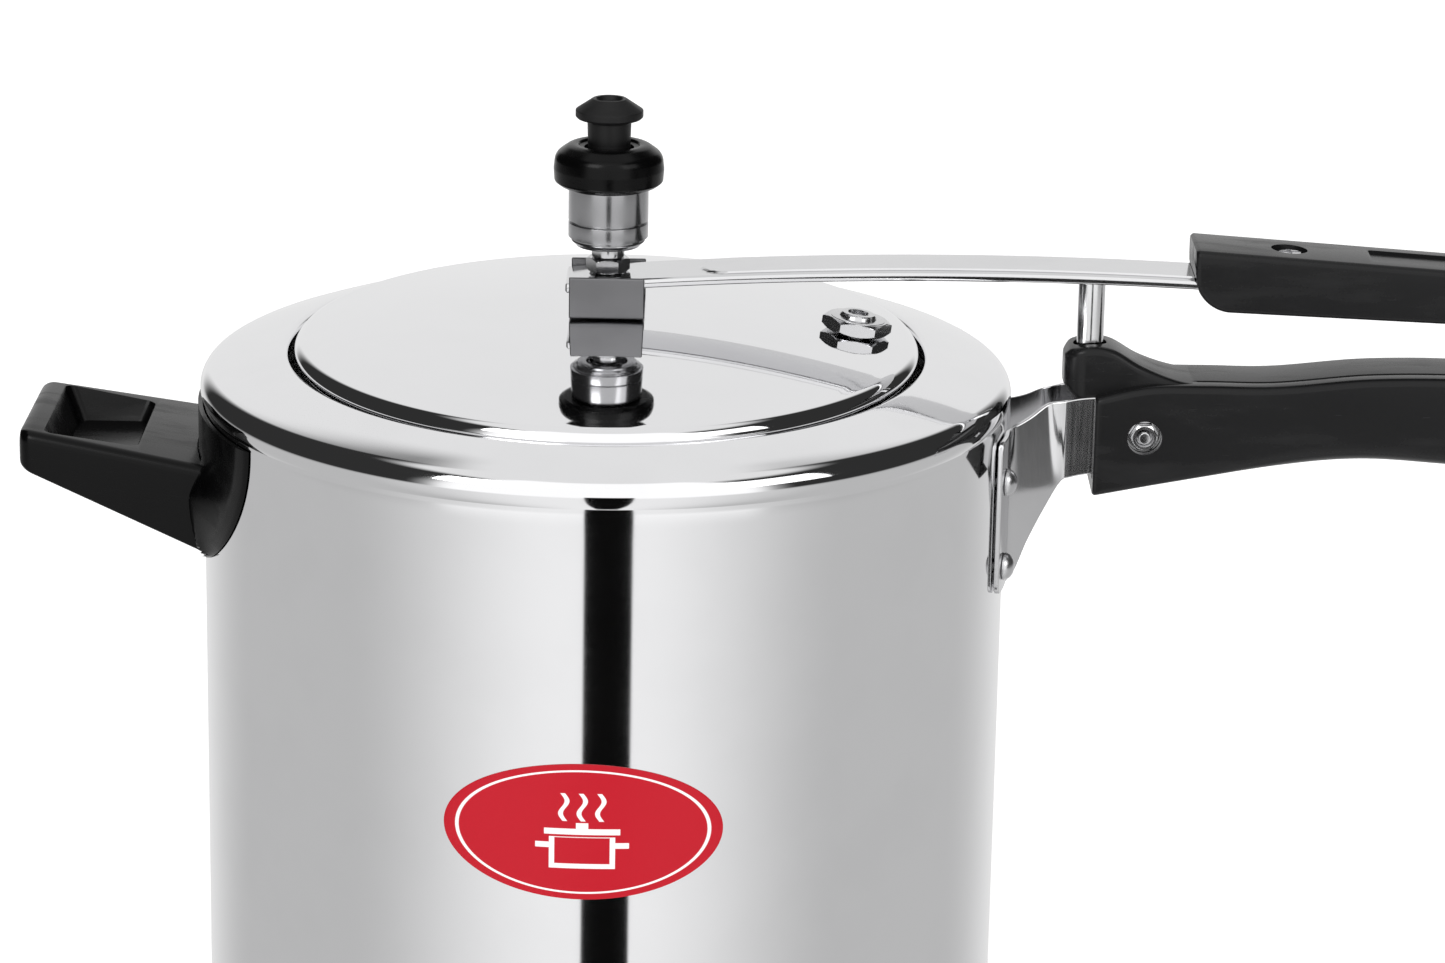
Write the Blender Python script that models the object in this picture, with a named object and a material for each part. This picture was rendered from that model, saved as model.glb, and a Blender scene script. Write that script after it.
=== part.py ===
"""Stovetop pressure cooker with an inner lid, modelled as an assembly.

Frame: the origin is the centre of the pot's base, +Z is up and +X runs along the long handles.
All sizes below are in millimetres; the meshes are made in metres. Heights called "above the
mouth" are counted from MOUTH_Z, the plane of the pot's mouth.
"""

import math

import bmesh
import bpy
from mathutils import Euler, Matrix, Vector

MM = 0.001
GAP = 0.3  # between two pieces that touch

# Pot
POT_R = 120.0
MOUTH_Z = 222.0
WALL = 3.25
BASE_T = 5.0
BASE_CORNER_R = 12.0
CREASE_DROP = 13.8  # from the mouth down to where the wall meets the shoulder
BULGE_R = POT_R + 0.9
BULGE_DROP = 9.5
BULGE_ROUND = 6.0
MOUTH_A = POT_R - 25.5  # half the oval mouth along the handles
MOUTH_B = POT_R - 17.0  # half the oval mouth across them
LIP_ROUND = 2.0
LIP_RISE = 1.2

# Lid and gasket
LID_GAP = 1.5  # between the lid's skirt and the mouth
LID_T = 3.0
LID_APEX = 12.3  # above the mouth
LID_DROP = 7.6  # from the apex to where the edge begins to round
LID_EDGE_R = 4.0
FLANGE_W = 7.0
FLANGE_T = 2.6
FLANGE_DROP = 7.0  # from the mouth down to the flange's top
GASKET_IN = 4.5  # from the lid's skirt out to the gasket's inner edge
GASKET_OUT = 9.5
GASKET_LIP = 2.0

# Handle bar
BAR_HALF_W = 11.0
BAR_T = 3.0
BAR_X0 = -12.2
BAR_X1 = POT_R + 142.0
BAR_APEX_X = POT_R - 5.0
BAR_APEX_Z = 28.75  # top of the arch, above the mouth
BAR_FALL = 4.68165  # from the apex down to the top over the vent tube
BAR_CURVE = BAR_FALL / BAR_APEX_X ** 2  # drop of the arch is this times the distance squared
BAR_EDGE = 0.8

# Bracket on the lid
SADDLE_LEN = 22.2
SADDLE_T = 1.4
SADDLE_HALF_W = BAR_HALF_W + GAP + SADDLE_T  # its legs stand on both sides of the bar
SADDLE_H = 12.7

# Vent tube and its nuts
TUBE_R = 3.9
TUBE_NECK_R = 4.9
TUBE_BORE_R = 1.5
TUBE_TOP = 45.0  # above the mouth
TUBE_FOOT = 2.0
VENT_NUT_AF = 11.3
VENT_NUT_H = 4.2
LOCKNUT_AF = 14.0
LOCKNUT_H = 4.0

# Pressure weight
WEIGHT_R = 11.85
WEIGHT_Z0 = 32.5  # above the mouth
WEIGHT_Z1 = 50.6
WEIGHT_CHAMFER = 2.2
WEIGHT_BORE_R = 6.6
SPIGOT_R = 7.0
SPIGOT_H = 6.4
CAP_R = 16.35
CAP_H = 12.4
STEM_R = 6.55
KNOB_R = 10.0
KNOB_Z = 70.8  # underside of the knob, above the mouth
KNOB_H = 6.0
CLIP_T = 0.7

# Safety valve
VALVE_X = POT_R - 46.0
VALVE_AF = 18.1
VALVE_HEX_H = 4.0
VALVE_BOSS_R = 5.3
VALVE_BOSS_H = 1.5
VALVE_STEM_R = 5.0
VALVE_BORE_R = 2.9
VALVE_NUT_AF = 15.0
VALVE_NUT_H = 3.6
VALVE_WASHER_R = 9.0
VALVE_WASHER_T = 1.4

# Fulcrum pin
PIN_X = POT_R + 24.0
PIN_R = 4.0
PIN_FOOT_Z = 2.3  # centre of its round foot, above the mouth
SOCKET_CLEARANCE = 1.0

# Upper handle
UPPER_X0 = POT_R + 53.5
UPPER_X1 = POT_R + 196.0
UPPER_HALF_W = 12.3
UPPER_TOP_Z = 36.7  # at its inner end, above the mouth
UPPER_BOTTOM_Z = 18.2
UPPER_TOP_FALL = 9.0  # from the inner end to the outer end
UPPER_BOTTOM_FALL = 5.0
UPPER_CHIN_R = 11.0
UPPER_END_R = 6.0
UPPER_EDGE_R = 1.8
UPPER_SCREW_X = UPPER_X0 + 28.5
UPPER_SCREW_POCKET_R = 5.4
UPPER_SCREW_POCKET_DEPTH = 4.0
SLOT_CLEARANCE = 0.4

# Lower handle, in two halves that meet at SPLIT_Y
LOWER_HALF_W = 13.5
LOWER_EDGE_R = 2.2
SPLIT_Y = -7.0
RIB_HALF_W = 9.0
LOWER_X0 = POT_R + 25.5
LOWER_X1 = POT_R + 202.0

# Pressings that hold the lower handle
PRESS_T = 1.5
PRESS_EDGE_Y = 33.0  # half the width across the flanges
PRESS_ROOT_Y = 19.0  # half the width where the legs leave the pot
PRESS_TONGUE_Y = 9.6  # middle of the tongue from the centre line
PRESS_TOP_DROP = 10.5
PRESS_BOTTOM_DROP = 34.0
PRESS_FLANGE_TOP = 17.3
PRESS_FLANGE_BOTTOM = 64.0
PRESS_TONGUE_X0 = POT_R + 16.5
PRESS_TONGUE_X1 = POT_R + 50.0
PRESS_RIVET_Y = 26.0
PRESS_RIVET_DROPS = (31.0, 57.0)
BOLT_X = LOWER_X0 + 14.9
BOLT_DROP = 20.5
BOLT_R = 2.0
NUT_AF = 7.5
NUT_POCKET_R = 5.15
LOWER_SCREW_X = LOWER_X1 - 37.0
LOWER_SCREW_DROP = 16.0

# Rivets through the pot's wall
RIVET_R = 2.1
RIVET_HEAD_R = 4.1
RIVET_HEAD_H = 3.2
RIVET_TAIL_R = 4.3
RIVET_TAIL_H = 1.2
HOLE_CLEARANCE = 0.3

# Locking loop
WIRE_R = 1.5
LOOP_X = LOWER_X1 - 10.0
LOOP_DROP = 14.0
LOOP_LEAN = 6.0  # how far inboard of its pivot the cross-bar rests on the upper handle when locked
LOOP_BEND_R = 5.0
LOOP_PIVOT_IN = 5.0  # how far its ends reach into the handle

# Helper handle, collar and bracket on the other side
HELPER_X1 = -(POT_R + 52.5)
HELPER_TIP_HALF_W = 28.6
HELPER_ROOT_HALF_W = 33.5
HELPER_TIP_TOP = 19.8  # below the mouth
HELPER_ROOT_TOP = 29.2
HELPER_TIP_BOTTOM = 31.6
HELPER_ROOT_BOTTOM = 56.0
HELPER_ROOT_X = -(POT_R - 4.0)
HELPER_EDGE_R = 3.0
WINDOW_X0 = -(POT_R + 41.0)
WINDOW_X1 = -(POT_R + 20.0)
WINDOW_HALF_W = 21.5
COLLAR_T = 1.3
COLLAR_HALF_ANGLE = 33.3
COLLAR_H = 48.5
POCKET_HALF_W = 15.0
POCKET_TOP = 31.5  # below the mouth
POCKET_BOTTOM = 45.0
POCKET_X1 = -(POT_R + 17.0)
HELPER_PLATE_HALF_W = 13.5
HELPER_PLATE_TOP = 33.0
HELPER_TONGUE_DROP = 42.0
HELPER_TONGUE_HALF_W = 7.0
HELPER_TONGUE_X1 = -(POT_R + 15.0)
HELPER_SHEET_T = 1.6
HELPER_SCREW_X = -(POT_R + 9.0)
HELPER_RIVET_Y = 8.0
HELPER_RIVET_DROP = 37.3
HELPER_RIVET_HEAD_R = 3.0
HELPER_RIVET_HEAD_H = 2.0
SCREW_R = 2.0
SCREW_HEAD_R = 3.6
SCREW_HEAD_H = 2.2

# Sticker on the front
LABEL_X = -2.5
LABEL_DROP = 107.6
LABEL_HALF_W = 40.2
LABEL_HALF_H = 20.3
LABEL_T = 0.25

POT_SEGMENTS = 48
LID_SEGMENTS = 48

for leftover in list(bpy.data.objects):
    bpy.data.objects.remove(leftover)


# ---------------------------------------------------------------- materials and small tools

def material(name, colour, roughness, metallic):
    """A Principled material of one colour."""
    made = bpy.data.materials.new(name)
    made.use_nodes = True
    shader = made.node_tree.nodes["Principled BSDF"]
    shader.inputs["Base Color"].default_value = (*colour, 1.0)
    shader.inputs["Roughness"].default_value = roughness
    shader.inputs["Metallic"].default_value = metallic
    return made


ALUMINIUM = material("polished_aluminium", (0.87, 0.87, 0.88), 0.08, 1.0)
STEEL = material("plated_steel", (0.72, 0.72, 0.73), 0.2, 1.0)
BLACK = material("black_phenolic", (0.012, 0.012, 0.013), 0.3, 0.0)
RUBBER = material("black_rubber", (0.03, 0.03, 0.03), 0.7, 0.0)
BRASS = material("fusible_plug", (0.55, 0.55, 0.57), 0.35, 1.0)
RED = material("red_sticker", (0.75, 0.02, 0.06), 0.35, 0.0)


def above(height):
    """World height of a point given above the mouth."""
    return MOUTH_Z + height


def below(drop):
    """World height of a point given below the mouth."""
    return MOUTH_Z - drop


def finish(name, bm, dress, origin=(0.0, 0.0, 0.0), parent=None):
    """Turns a bmesh in millimetres into an object in metres whose origin is at `origin`."""
    bmesh.ops.remove_doubles(bm, verts=bm.verts, dist=0.001)
    bmesh.ops.recalc_face_normals(bm, faces=bm.faces)
    bmesh.ops.transform(bm, matrix=Matrix.Scale(MM, 4) @ Matrix.Translation(-Vector(origin)),
                        verts=bm.verts)
    mesh = bpy.data.meshes.new(name)
    bm.to_mesh(mesh)
    bm.free()
    mesh.shade_smooth()
    mesh.set_sharp_from_angle(angle=math.radians(35))
    mesh.materials.append(dress)
    made = bpy.data.objects.new(name, mesh)
    made.location = Vector(origin) * MM
    bpy.context.scene.collection.objects.link(made)
    if parent:
        bpy.context.view_layer.update()
        made.parent = parent
        made.matrix_parent_inverse = parent.matrix_world.inverted()
    return made


def pivot(name, place, parent=None):
    """An empty on a joint's axis."""
    made = bpy.data.objects.new(name, None)
    made.location = Vector(place) * MM
    bpy.context.scene.collection.objects.link(made)
    if parent:
        bpy.context.view_layer.update()
        made.parent = parent
        made.matrix_parent_inverse = parent.matrix_world.inverted()
    bpy.context.view_layer.update()
    return made


def hide_cutter(cutter):
    """Marks a helper solid so that it is not a part of the object."""
    cutter.hide_render = True
    cutter.display_type = "WIRE"


def combine(target, other, operation):
    """Adds a Boolean with another object, which becomes a helper."""
    modifier = target.modifiers.new(operation.lower() + "_" + other.name, "BOOLEAN")
    modifier.operation = operation
    modifier.object = other
    hide_cutter(other)


def cut(target, cutter):
    """Takes one solid out of another."""
    combine(target, cutter, "DIFFERENCE")


def lofted(rings, closed=False):
    """A bmesh skinned over rings of points; a ring of one point is a pole, `closed` joins the ends."""
    bm = bmesh.new()
    made = [[bm.verts.new(point) for point in ring] for ring in rings]
    pairs = list(zip(made, made[1:]))
    if closed:
        pairs.append((made[-1], made[0]))
    for first, second in pairs:
        count = max(len(first), len(second))
        for i in range(count):
            j = (i + 1) % count
            corners = [first[i % len(first)], first[j % len(first)],
                       second[j % len(second)], second[i % len(second)]]
            distinct = list(dict.fromkeys(corners))
            if len(distinct) > 2:
                bm.faces.new(distinct)
    if not closed:
        for ring in (made[0], made[-1]):
            if len(ring) > 2:
                bm.faces.new(ring)
    return bm


def circle(radius, z, segments, turn=0.0):
    """A ring of points round the Z axis, or one point where the radius is nothing."""
    if radius == 0:
        return [(0.0, 0.0, z)]
    step = 2 * math.pi / segments
    return [(radius * math.cos(turn + i * step), radius * math.sin(turn + i * step), z)
            for i in range(segments)]


def turned(profile, segments, closed=False):
    """A solid of revolution: profile is (radius, z), from one end of its axis round to the other."""
    return lofted([circle(r, z, segments) for r, z in profile], closed)


def moved(bm, matrix):
    """The bmesh carried to another place."""
    bmesh.ops.transform(bm, matrix=matrix, verts=bm.verts)
    return bm


def along_y(x, z):
    """Turns the Z axis to +Y and carries it to a point of the XZ plane."""
    return Matrix.Translation((x, 0, z)) @ Matrix.Rotation(-math.pi / 2, 4, "X")


def rod(name, radius, z0, z1, segments=24, place=None):
    """A plain cylinder along Z, used as a cutter."""
    bm = turned([(0, z0), (radius, z0), (radius, z1), (0, z1)], segments)
    return finish(name, moved(bm, place) if place else bm, STEEL)


def block(name, x0, x1, y0, y1, z0, z1):
    """A plain block, used as a cutter."""
    rings = [[(x0, y0, z), (x1, y0, z), (x1, y1, z), (x0, y1, z)] for z in (z0, z1)]
    return finish(name, lofted(rings), STEEL)


def arc(cx, cy, radius, start, end, steps):
    """Points of an arc between two angles in degrees, both ends included."""
    found = []
    for i in range(steps + 1):
        angle = math.radians(start + (end - start) * i / steps)
        found.append((cx + radius * math.cos(angle), cy + radius * math.sin(angle)))
    return found


def rounded(corners, steps=5):
    """A closed outline whose corners (x, y, radius) are rounded."""
    found = []
    for i, (x, y, radius) in enumerate(corners):
        here = Vector((x, y))
        if radius == 0:
            found.append((x, y))
            continue
        before = (Vector(corners[i - 1][:2]) - here).normalized()
        after = (Vector(corners[(i + 1) % len(corners)][:2]) - here).normalized()
        half = before.angle(after) / 2
        centre = here + (before + after).normalized() * (radius / math.sin(half))
        start = here + before * (radius / math.tan(half)) - centre
        end = here + after * (radius / math.tan(half)) - centre
        for k in range(steps + 1):
            found.append(tuple(centre + start.slerp(end, k / steps).normalized() * radius))
    return found


def smooth(points, steps=4):
    """Points of a Catmull-Rom curve through the given ones."""
    ends = [points[0], *points, points[-1]]
    found = []
    for a, b, c, d in zip(ends, ends[1:], ends[2:], ends[3:]):
        for k in range(steps):
            t = k / steps
            found.append(tuple(
                0.5 * (2 * b[n] + (c[n] - a[n]) * t + (2 * a[n] - 5 * b[n] + 4 * c[n] - d[n]) * t ** 2
                       + (3 * b[n] - a[n] - 3 * c[n] + d[n]) * t ** 3) for n in (0, 1)))
    found.append(tuple(points[-1]))
    return found


def slab(outline, y0, y1, edge=0.0, rounded_sides=(True, True)):
    """An XZ outline carried from y0 to y1, with the edges of the chosen sides rounded."""
    bm = lofted([[(x, y, z) for x, z in outline] for y in (y0, y1)])
    sides = [y for y, wanted in zip((y0, y1), rounded_sides) if wanted]
    rims = [e for e in bm.edges
            if any(all(abs(v.co.y - y) < 1e-6 for v in e.verts) for y in sides)]
    if edge:
        bmesh.ops.bevel(bm, geom=rims, offset=edge, segments=2, profile=0.5, affect="EDGES")
    return bm


def hexagon(across_flats, z0, z1, chamfer=0.6):
    """A hexagonal block along Z, its top corners chamfered, two flats facing -Y and +Y."""
    corner_r = across_flats / math.sqrt(3)
    return lofted([circle(corner_r, z0, 6), circle(corner_r, z1 - chamfer, 6),
                   circle(corner_r - chamfer, z1, 6)])


def nut(name, across_flats, z0, z1, hole_r, place=None, parent=None):
    """A hexagon nut with a round hole through it."""
    bm = hexagon(across_flats, z0, z1)
    made = finish(name, moved(bm, place) if place else bm, STEEL, parent=parent)
    cut(made, rod(name + "_hole", hole_r, z0 - 2, z1 + 2, 20, place))
    return made


# ---------------------------------------------------------------- pot

def mouth_radius(angle):
    """Distance from the axis to the oval mouth's edge in one direction."""
    across = MOUTH_B * math.cos(angle)
    along = MOUTH_A * math.sin(angle)
    return MOUTH_A * MOUTH_B / math.hypot(across, along)


def rim_underside(angle, radius):
    """World height of the shoulder's inner face, which the gasket seals on."""
    lip_r = mouth_radius(angle) + LIP_ROUND
    lip_z = above(LIP_RISE - 2 * LIP_ROUND)
    end = math.radians(68)
    bend = BULGE_ROUND - WALL
    far_r = BULGE_R - BULGE_ROUND + bend * math.cos(end)
    far_z = below(BULGE_DROP) + bend * math.sin(end)
    return lip_z + (far_z - lip_z) * (radius - lip_r) / (far_r - lip_r)


def pot_station(angle):
    """The pot's profile in one direction, from the base's centre outside round to its centre inside."""
    bulge_r = BULGE_R - BULGE_ROUND
    bulge_z = below(BULGE_DROP)
    lip_r = mouth_radius(angle) + LIP_ROUND
    lip_z = above(LIP_RISE - LIP_ROUND)
    inner_r = POT_R - WALL
    inner_corner = BASE_CORNER_R - WALL
    points = arc(POT_R - BASE_CORNER_R, BASE_CORNER_R, BASE_CORNER_R, -90, 0, 4)
    points += [(POT_R, below(CREASE_DROP))]
    points += arc(bulge_r, bulge_z, BULGE_ROUND, -32, 68, 6)
    points += arc(lip_r, lip_z, LIP_ROUND, 78, 270, 6)
    points += arc(bulge_r, bulge_z, BULGE_ROUND - WALL, 68, 0, 3)
    points += [(inner_r, below(CREASE_DROP))]
    points += arc(inner_r - inner_corner, BASE_T + inner_corner, inner_corner, 0, -90, 4)
    return points


def vessel():
    """The pot's body, open at its oval mouth."""
    angles = [2 * math.pi * i / POT_SEGMENTS for i in range(POT_SEGMENTS)]
    stations = [pot_station(angle) for angle in angles]
    rings = [[(0.0, 0.0, 0.0)]]
    for k in range(len(stations[0])):
        rings.append([(s[k][0] * math.cos(a), s[k][0] * math.sin(a), s[k][1])
                      for s, a in zip(stations, angles)])
    rings.append([(0.0, 0.0, BASE_T)])
    return finish("vessel", lofted(rings), ALUMINIUM)


# ---------------------------------------------------------------- lid and gasket

LID_A = MOUTH_A - LID_GAP
LID_B = MOUTH_B - LID_GAP


def oval(offset, z, segments=LID_SEGMENTS, rise=None):
    """A ring at a distance outside the lid's skirt."""
    points = []
    for i in range(segments):
        angle = 2 * math.pi * i / segments
        x = (LID_A + offset) * math.cos(angle)
        y = (LID_B + offset) * math.sin(angle)
        points.append((x, y, z if rise is None else rise(math.atan2(y, x), math.hypot(x, y))))
    return points


def dome_z(x, y):
    """World height of the lid's top surface inside its rounded edge."""
    share = (x / (LID_A - LID_EDGE_R)) ** 2 + (y / (LID_B - LID_EDGE_R)) ** 2
    return above(LID_APEX - LID_DROP * share)


def dome_ring(share, thickness):
    """A ring of the dome at a share of the way out to its rounded edge."""
    points = []
    for i in range(LID_SEGMENTS):
        angle = 2 * math.pi * i / LID_SEGMENTS
        x = share * (LID_A - LID_EDGE_R) * math.cos(angle)
        y = share * (LID_B - LID_EDGE_R) * math.sin(angle)
        points.append((x, y, dome_z(x, y) - thickness))
    return points


def lid(parent):
    """The domed lid: dome, rounded edge, skirt and the flange that carries the gasket."""
    edge_z = above(LID_APEX - LID_DROP - LID_EDGE_R)
    rings = [[(0, 0, above(LID_APEX))]]
    rings += [dome_ring(share, 0) for share in (0.25, 0.5, 0.75, 0.9)]
    rings += [oval(e - LID_EDGE_R, z) for e, z in arc(0, edge_z, LID_EDGE_R, 80, 0, 4)]
    rings += [oval(0, below(FLANGE_DROP)), oval(FLANGE_W, below(FLANGE_DROP)),
              oval(FLANGE_W, below(FLANGE_DROP + FLANGE_T)),
              oval(-LID_T, below(FLANGE_DROP + FLANGE_T)), oval(-LID_T, edge_z - 1)]
    rings += [dome_ring(share, LID_T) for share in (0.92, 0.6, 0.25)]
    rings += [[(0, 0, above(LID_APEX - LID_T))]]
    made = finish("lid", lofted(rings), ALUMINIUM, parent=parent)
    cut(made, rod("tube_hole", TUBE_R + HOLE_CLEARANCE, above(0), above(LID_APEX + 5)))
    cut(made, rod("valve_hole", VALVE_STEM_R + HOLE_CLEARANCE, -12, 12, place=valve_place()))
    return made


def gasket(parent):
    """The rubber ring: a channel that holds the lid's flange and seals under the shoulder."""
    def seal(angle, radius):
        return rim_underside(angle, radius) - GAP

    slot_top = below(FLANGE_DROP) + GAP
    slot_bottom = below(FLANGE_DROP + FLANGE_T) - GAP
    foot = slot_bottom - GASKET_LIP
    rings = [oval(GASKET_IN, 0, rise=seal), oval((GASKET_IN + GASKET_OUT) / 2, 0, rise=seal),
             oval(GASKET_OUT, 0, rise=seal), oval(GASKET_OUT, foot), oval(GASKET_IN, foot),
             oval(GASKET_IN, slot_bottom), oval(FLANGE_W + GAP, slot_bottom),
             oval(FLANGE_W + GAP, slot_top), oval(GASKET_IN, slot_top)]
    return finish("gasket", lofted(rings, closed=True), RUBBER, parent=parent)


# ---------------------------------------------------------------- bracket, tube and valve

SADDLE_Z = LID_APEX + GAP  # underside of the bracket, above the mouth


def lid_bracket(parent):
    """The folded saddle: a base on the lid and two walls beside the bar."""
    w = SADDLE_HALF_W
    z0 = above(SADDLE_Z)
    z1 = z0 + SADDLE_H
    outline = rounded([(-w, z0, 1.2), (-w, z1, 1.2), (-w + SADDLE_T, z1, 0),
                       (-w + SADDLE_T, z0 + SADDLE_T, 0), (w - SADDLE_T, z0 + SADDLE_T, 0),
                       (w - SADDLE_T, z1, 0), (w, z1, 1.2), (w, z0, 1.2)], 3)
    half = SADDLE_LEN / 2
    rings = [[(x, y, z) for y, z in outline] for x in (-half, half)]
    made = finish("lid_bracket", lofted(rings), STEEL, parent=parent)
    cut(made, rod("bracket_hole", TUBE_R + HOLE_CLEARANCE, z0 - 2, z0 + SADDLE_T + 2))
    return made


def bar_top(x):
    """World height of the bar's top along its arch."""
    return above(BAR_APEX_Z - BAR_CURVE * (x - BAR_APEX_X) ** 2)


NUT_Z0 = bar_top(0) - MOUTH_Z + 2 * GAP  # underside of the vent tube's nut, above the mouth
NECK_Z0 = NUT_Z0 + VENT_NUT_H + GAP


def vent_tube(parent):
    """The steam tube: threaded shank, neck above the nut and the tip that the weight sits on."""
    tip = above(TUBE_TOP)
    profile = [(TUBE_BORE_R, above(TUBE_FOOT)), (TUBE_R, above(TUBE_FOOT)),
               (TUBE_R, above(NECK_Z0)), (TUBE_NECK_R, above(NECK_Z0)),
               (TUBE_NECK_R, above(WEIGHT_Z0 + 2)), (TUBE_R - 0.5, above(WEIGHT_Z0 + 3.5)),
               (TUBE_R - 0.5, tip - 3), (TUBE_BORE_R + 0.6, tip), (TUBE_BORE_R, tip)]
    return finish("vent_tube", turned(profile, 20, closed=True), STEEL, parent=parent)


def vent_nuts(parent):
    """The nut above the bar and the locknut under the lid."""
    hole = TUBE_R + HOLE_CLEARANCE
    nut("vent_tube_nut", VENT_NUT_AF, above(NUT_Z0), above(NUT_Z0 + VENT_NUT_H), hole,
        parent=parent)
    under = LID_APEX - LID_T - GAP
    nut("vent_tube_locknut", LOCKNUT_AF, above(under - LOCKNUT_H), above(under), hole,
        parent=parent)


def valve_place():
    """Where the safety valve stands on the dome, with its axis along the dome's normal."""
    step = 0.5
    slope = (dome_z(VALVE_X + step, 0) - dome_z(VALVE_X - step, 0)) / (2 * step)
    tilt = Matrix.Rotation(-math.atan(slope), 4, "Y")
    return Matrix.Translation((VALVE_X, 0, dome_z(VALVE_X, 0))) @ tilt


def safety_valve(parent):
    """Body, fusible plug, washer and nut of the safety valve, built on the dome's normal."""
    place = valve_place()
    seat = GAP + 0.25
    hex_top = seat + VALVE_HEX_H
    stem_end = -(LID_T + VALVE_WASHER_T + VALVE_NUT_H + 2)
    body = hexagon(VALVE_AF, seat, hex_top, chamfer=0.8)
    made = finish("safety_valve_body", moved(body, place), STEEL, parent=parent)
    for label, radius, z0, z1 in (("valve_stem", VALVE_STEM_R, stem_end, seat + 1),
                                  ("valve_boss", VALVE_BOSS_R, hex_top - 1, hex_top + VALVE_BOSS_H)):
        combine(made, rod(label, radius, z0, z1, 20, place), "UNION")
    cut(made, rod("valve_bore", VALVE_BORE_R, stem_end - 1, hex_top + VALVE_BOSS_H + 1, 16, place))
    plug = [(0, stem_end + 1), (VALVE_BORE_R - GAP, stem_end + 1), (VALVE_BORE_R - GAP, hex_top),
            (1.2, hex_top + 0.7), (0, hex_top + 0.7)]
    finish("safety_valve_plug", moved(turned(plug, 16), place), BRASS, parent=parent)
    washer_top = -(LID_T + GAP + 0.2)
    washer_bottom = washer_top - VALVE_WASHER_T
    hole = VALVE_STEM_R + HOLE_CLEARANCE
    washer = [(hole, washer_bottom), (VALVE_WASHER_R, washer_bottom),
              (VALVE_WASHER_R, washer_top), (hole, washer_top)]
    finish("safety_valve_washer", moved(turned(washer, 20, closed=True), place), RUBBER,
           parent=parent)
    nut_top = washer_bottom - GAP
    nut("safety_valve_nut", VALVE_NUT_AF, nut_top - VALVE_NUT_H, nut_top, hole, place, parent)


# ---------------------------------------------------------------- pressure weight

def vent_weight_body(parent):
    """The steel weight: bored from below, with a spigot for the cap."""
    z0 = above(WEIGHT_Z0)
    z1 = above(WEIGHT_Z1)
    seat = above(TUBE_TOP) + GAP
    profile = [(WEIGHT_BORE_R, z0), (WEIGHT_R - WEIGHT_CHAMFER, z0),
               (WEIGHT_R, z0 + WEIGHT_CHAMFER * 0.8), (WEIGHT_R, z0 + 7.3), (WEIGHT_R - 0.4, z0 + 7.6),
               (WEIGHT_R, z0 + 7.9), (WEIGHT_R, z1), (SPIGOT_R, z1), (SPIGOT_R, z1 + SPIGOT_H),
               (0, z1 + SPIGOT_H), (0, seat + 1.5), (TUBE_BORE_R, seat), (WEIGHT_BORE_R, seat)]
    rings = [circle(r, z, 24) for r, z in profile]
    upper = lofted([rings[10], rings[11], rings[12], *rings[:10]])
    return finish("vent_weight_body", upper, STEEL, parent=parent)


def vent_weight_clip(parent):
    """The spring clip in the weight's bore, which snaps over the tube."""
    inner = WEIGHT_BORE_R - GAP - CLIP_T
    z0 = above(WEIGHT_Z0 + 3)
    profile = [(inner, z0), (inner + CLIP_T, z0), (inner + CLIP_T, z0 + 6), (inner, z0 + 6),
               (inner - 0.5, z0 + 3)]
    return finish("vent_weight_clip", turned(profile, 20, closed=True), STEEL, parent=parent)


def vent_weight_cap(parent):
    """The black cap round the weight's top, with a dish round the stem."""
    z0 = above(WEIGHT_Z1) + GAP
    z1 = z0 + CAP_H
    hole = SPIGOT_R + HOLE_CLEARANCE
    profile = [(hole, z0), (WEIGHT_R + 0.6, z0), (CAP_R - 1.3, z0 + 0.8), (CAP_R - 0.3, z0 + 2.6),
               (CAP_R, z0 + 5), (CAP_R - 0.3, z0 + 7.6), (CAP_R - 1.8, z0 + 10.4),
               (CAP_R - 4, z1 - 0.4), (CAP_R - 5.6, z1), (CAP_R - 7, z1 - 0.7), (hole, z1 - 1.8)]
    return finish("vent_weight_cap", turned(profile, 28, closed=True), BLACK, parent=parent)


def vent_weight_knob(parent):
    """Stem and mushroom knob, standing on the weight's spigot."""
    z0 = above(WEIGHT_Z1 + SPIGOT_H) + GAP
    under = above(KNOB_Z)
    top = under + KNOB_H
    profile = [(0, z0), (STEM_R, z0), (STEM_R, under - 0.8), (STEM_R + 0.9, under),
               (KNOB_R - 0.6, under + 0.5), (KNOB_R, under + 1.3), (KNOB_R, top - 2.5),
               (KNOB_R - 1.0, top - 1.7), (3.6, top), (2.6, top - 0.3), (1.6, top - 1.2),
               (0, top - 1.4)]
    return finish("vent_weight_knob", turned(profile, 24), BLACK, parent=parent)


# ---------------------------------------------------------------- bar, pin and upper handle

def bar_section(x, grow):
    """The bar's cross-section at one place, its corners cut, with room added all round."""
    w = BAR_HALF_W + grow
    top = bar_top(x) + grow
    bottom = bar_top(x) - BAR_T - grow
    e = BAR_EDGE
    return [(x, -w, bottom + e), (x, -w, top - e), (x, -w + e, top), (x, w - e, top),
            (x, w, top - e), (x, w, bottom + e), (x, w - e, bottom), (x, -w + e, bottom)]


def bar_shape(x0, x1, steps, grow=0.0):
    """The arched strip between two places along the handle."""
    return lofted([bar_section(x0 + (x1 - x0) * i / steps, grow) for i in range(steps + 1)])


def handle_bar(parent, origin):
    """The arched steel strip, with holes for the vent tube and the grip's screw."""
    made = finish("handle_bar", bar_shape(BAR_X0, BAR_X1, 22), STEEL, origin, parent)
    cut(made, rod("bar_tube_hole", TUBE_R + 1.6, bar_top(0) - 9, bar_top(0) + 9))
    screw = Matrix.Translation((UPPER_SCREW_X, 0, 0))
    middle = bar_top(UPPER_SCREW_X)
    cut(made, rod("bar_screw_hole", SCREW_R + HOLE_CLEARANCE, middle - 9, middle + 9, 16, screw))
    return made


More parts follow.
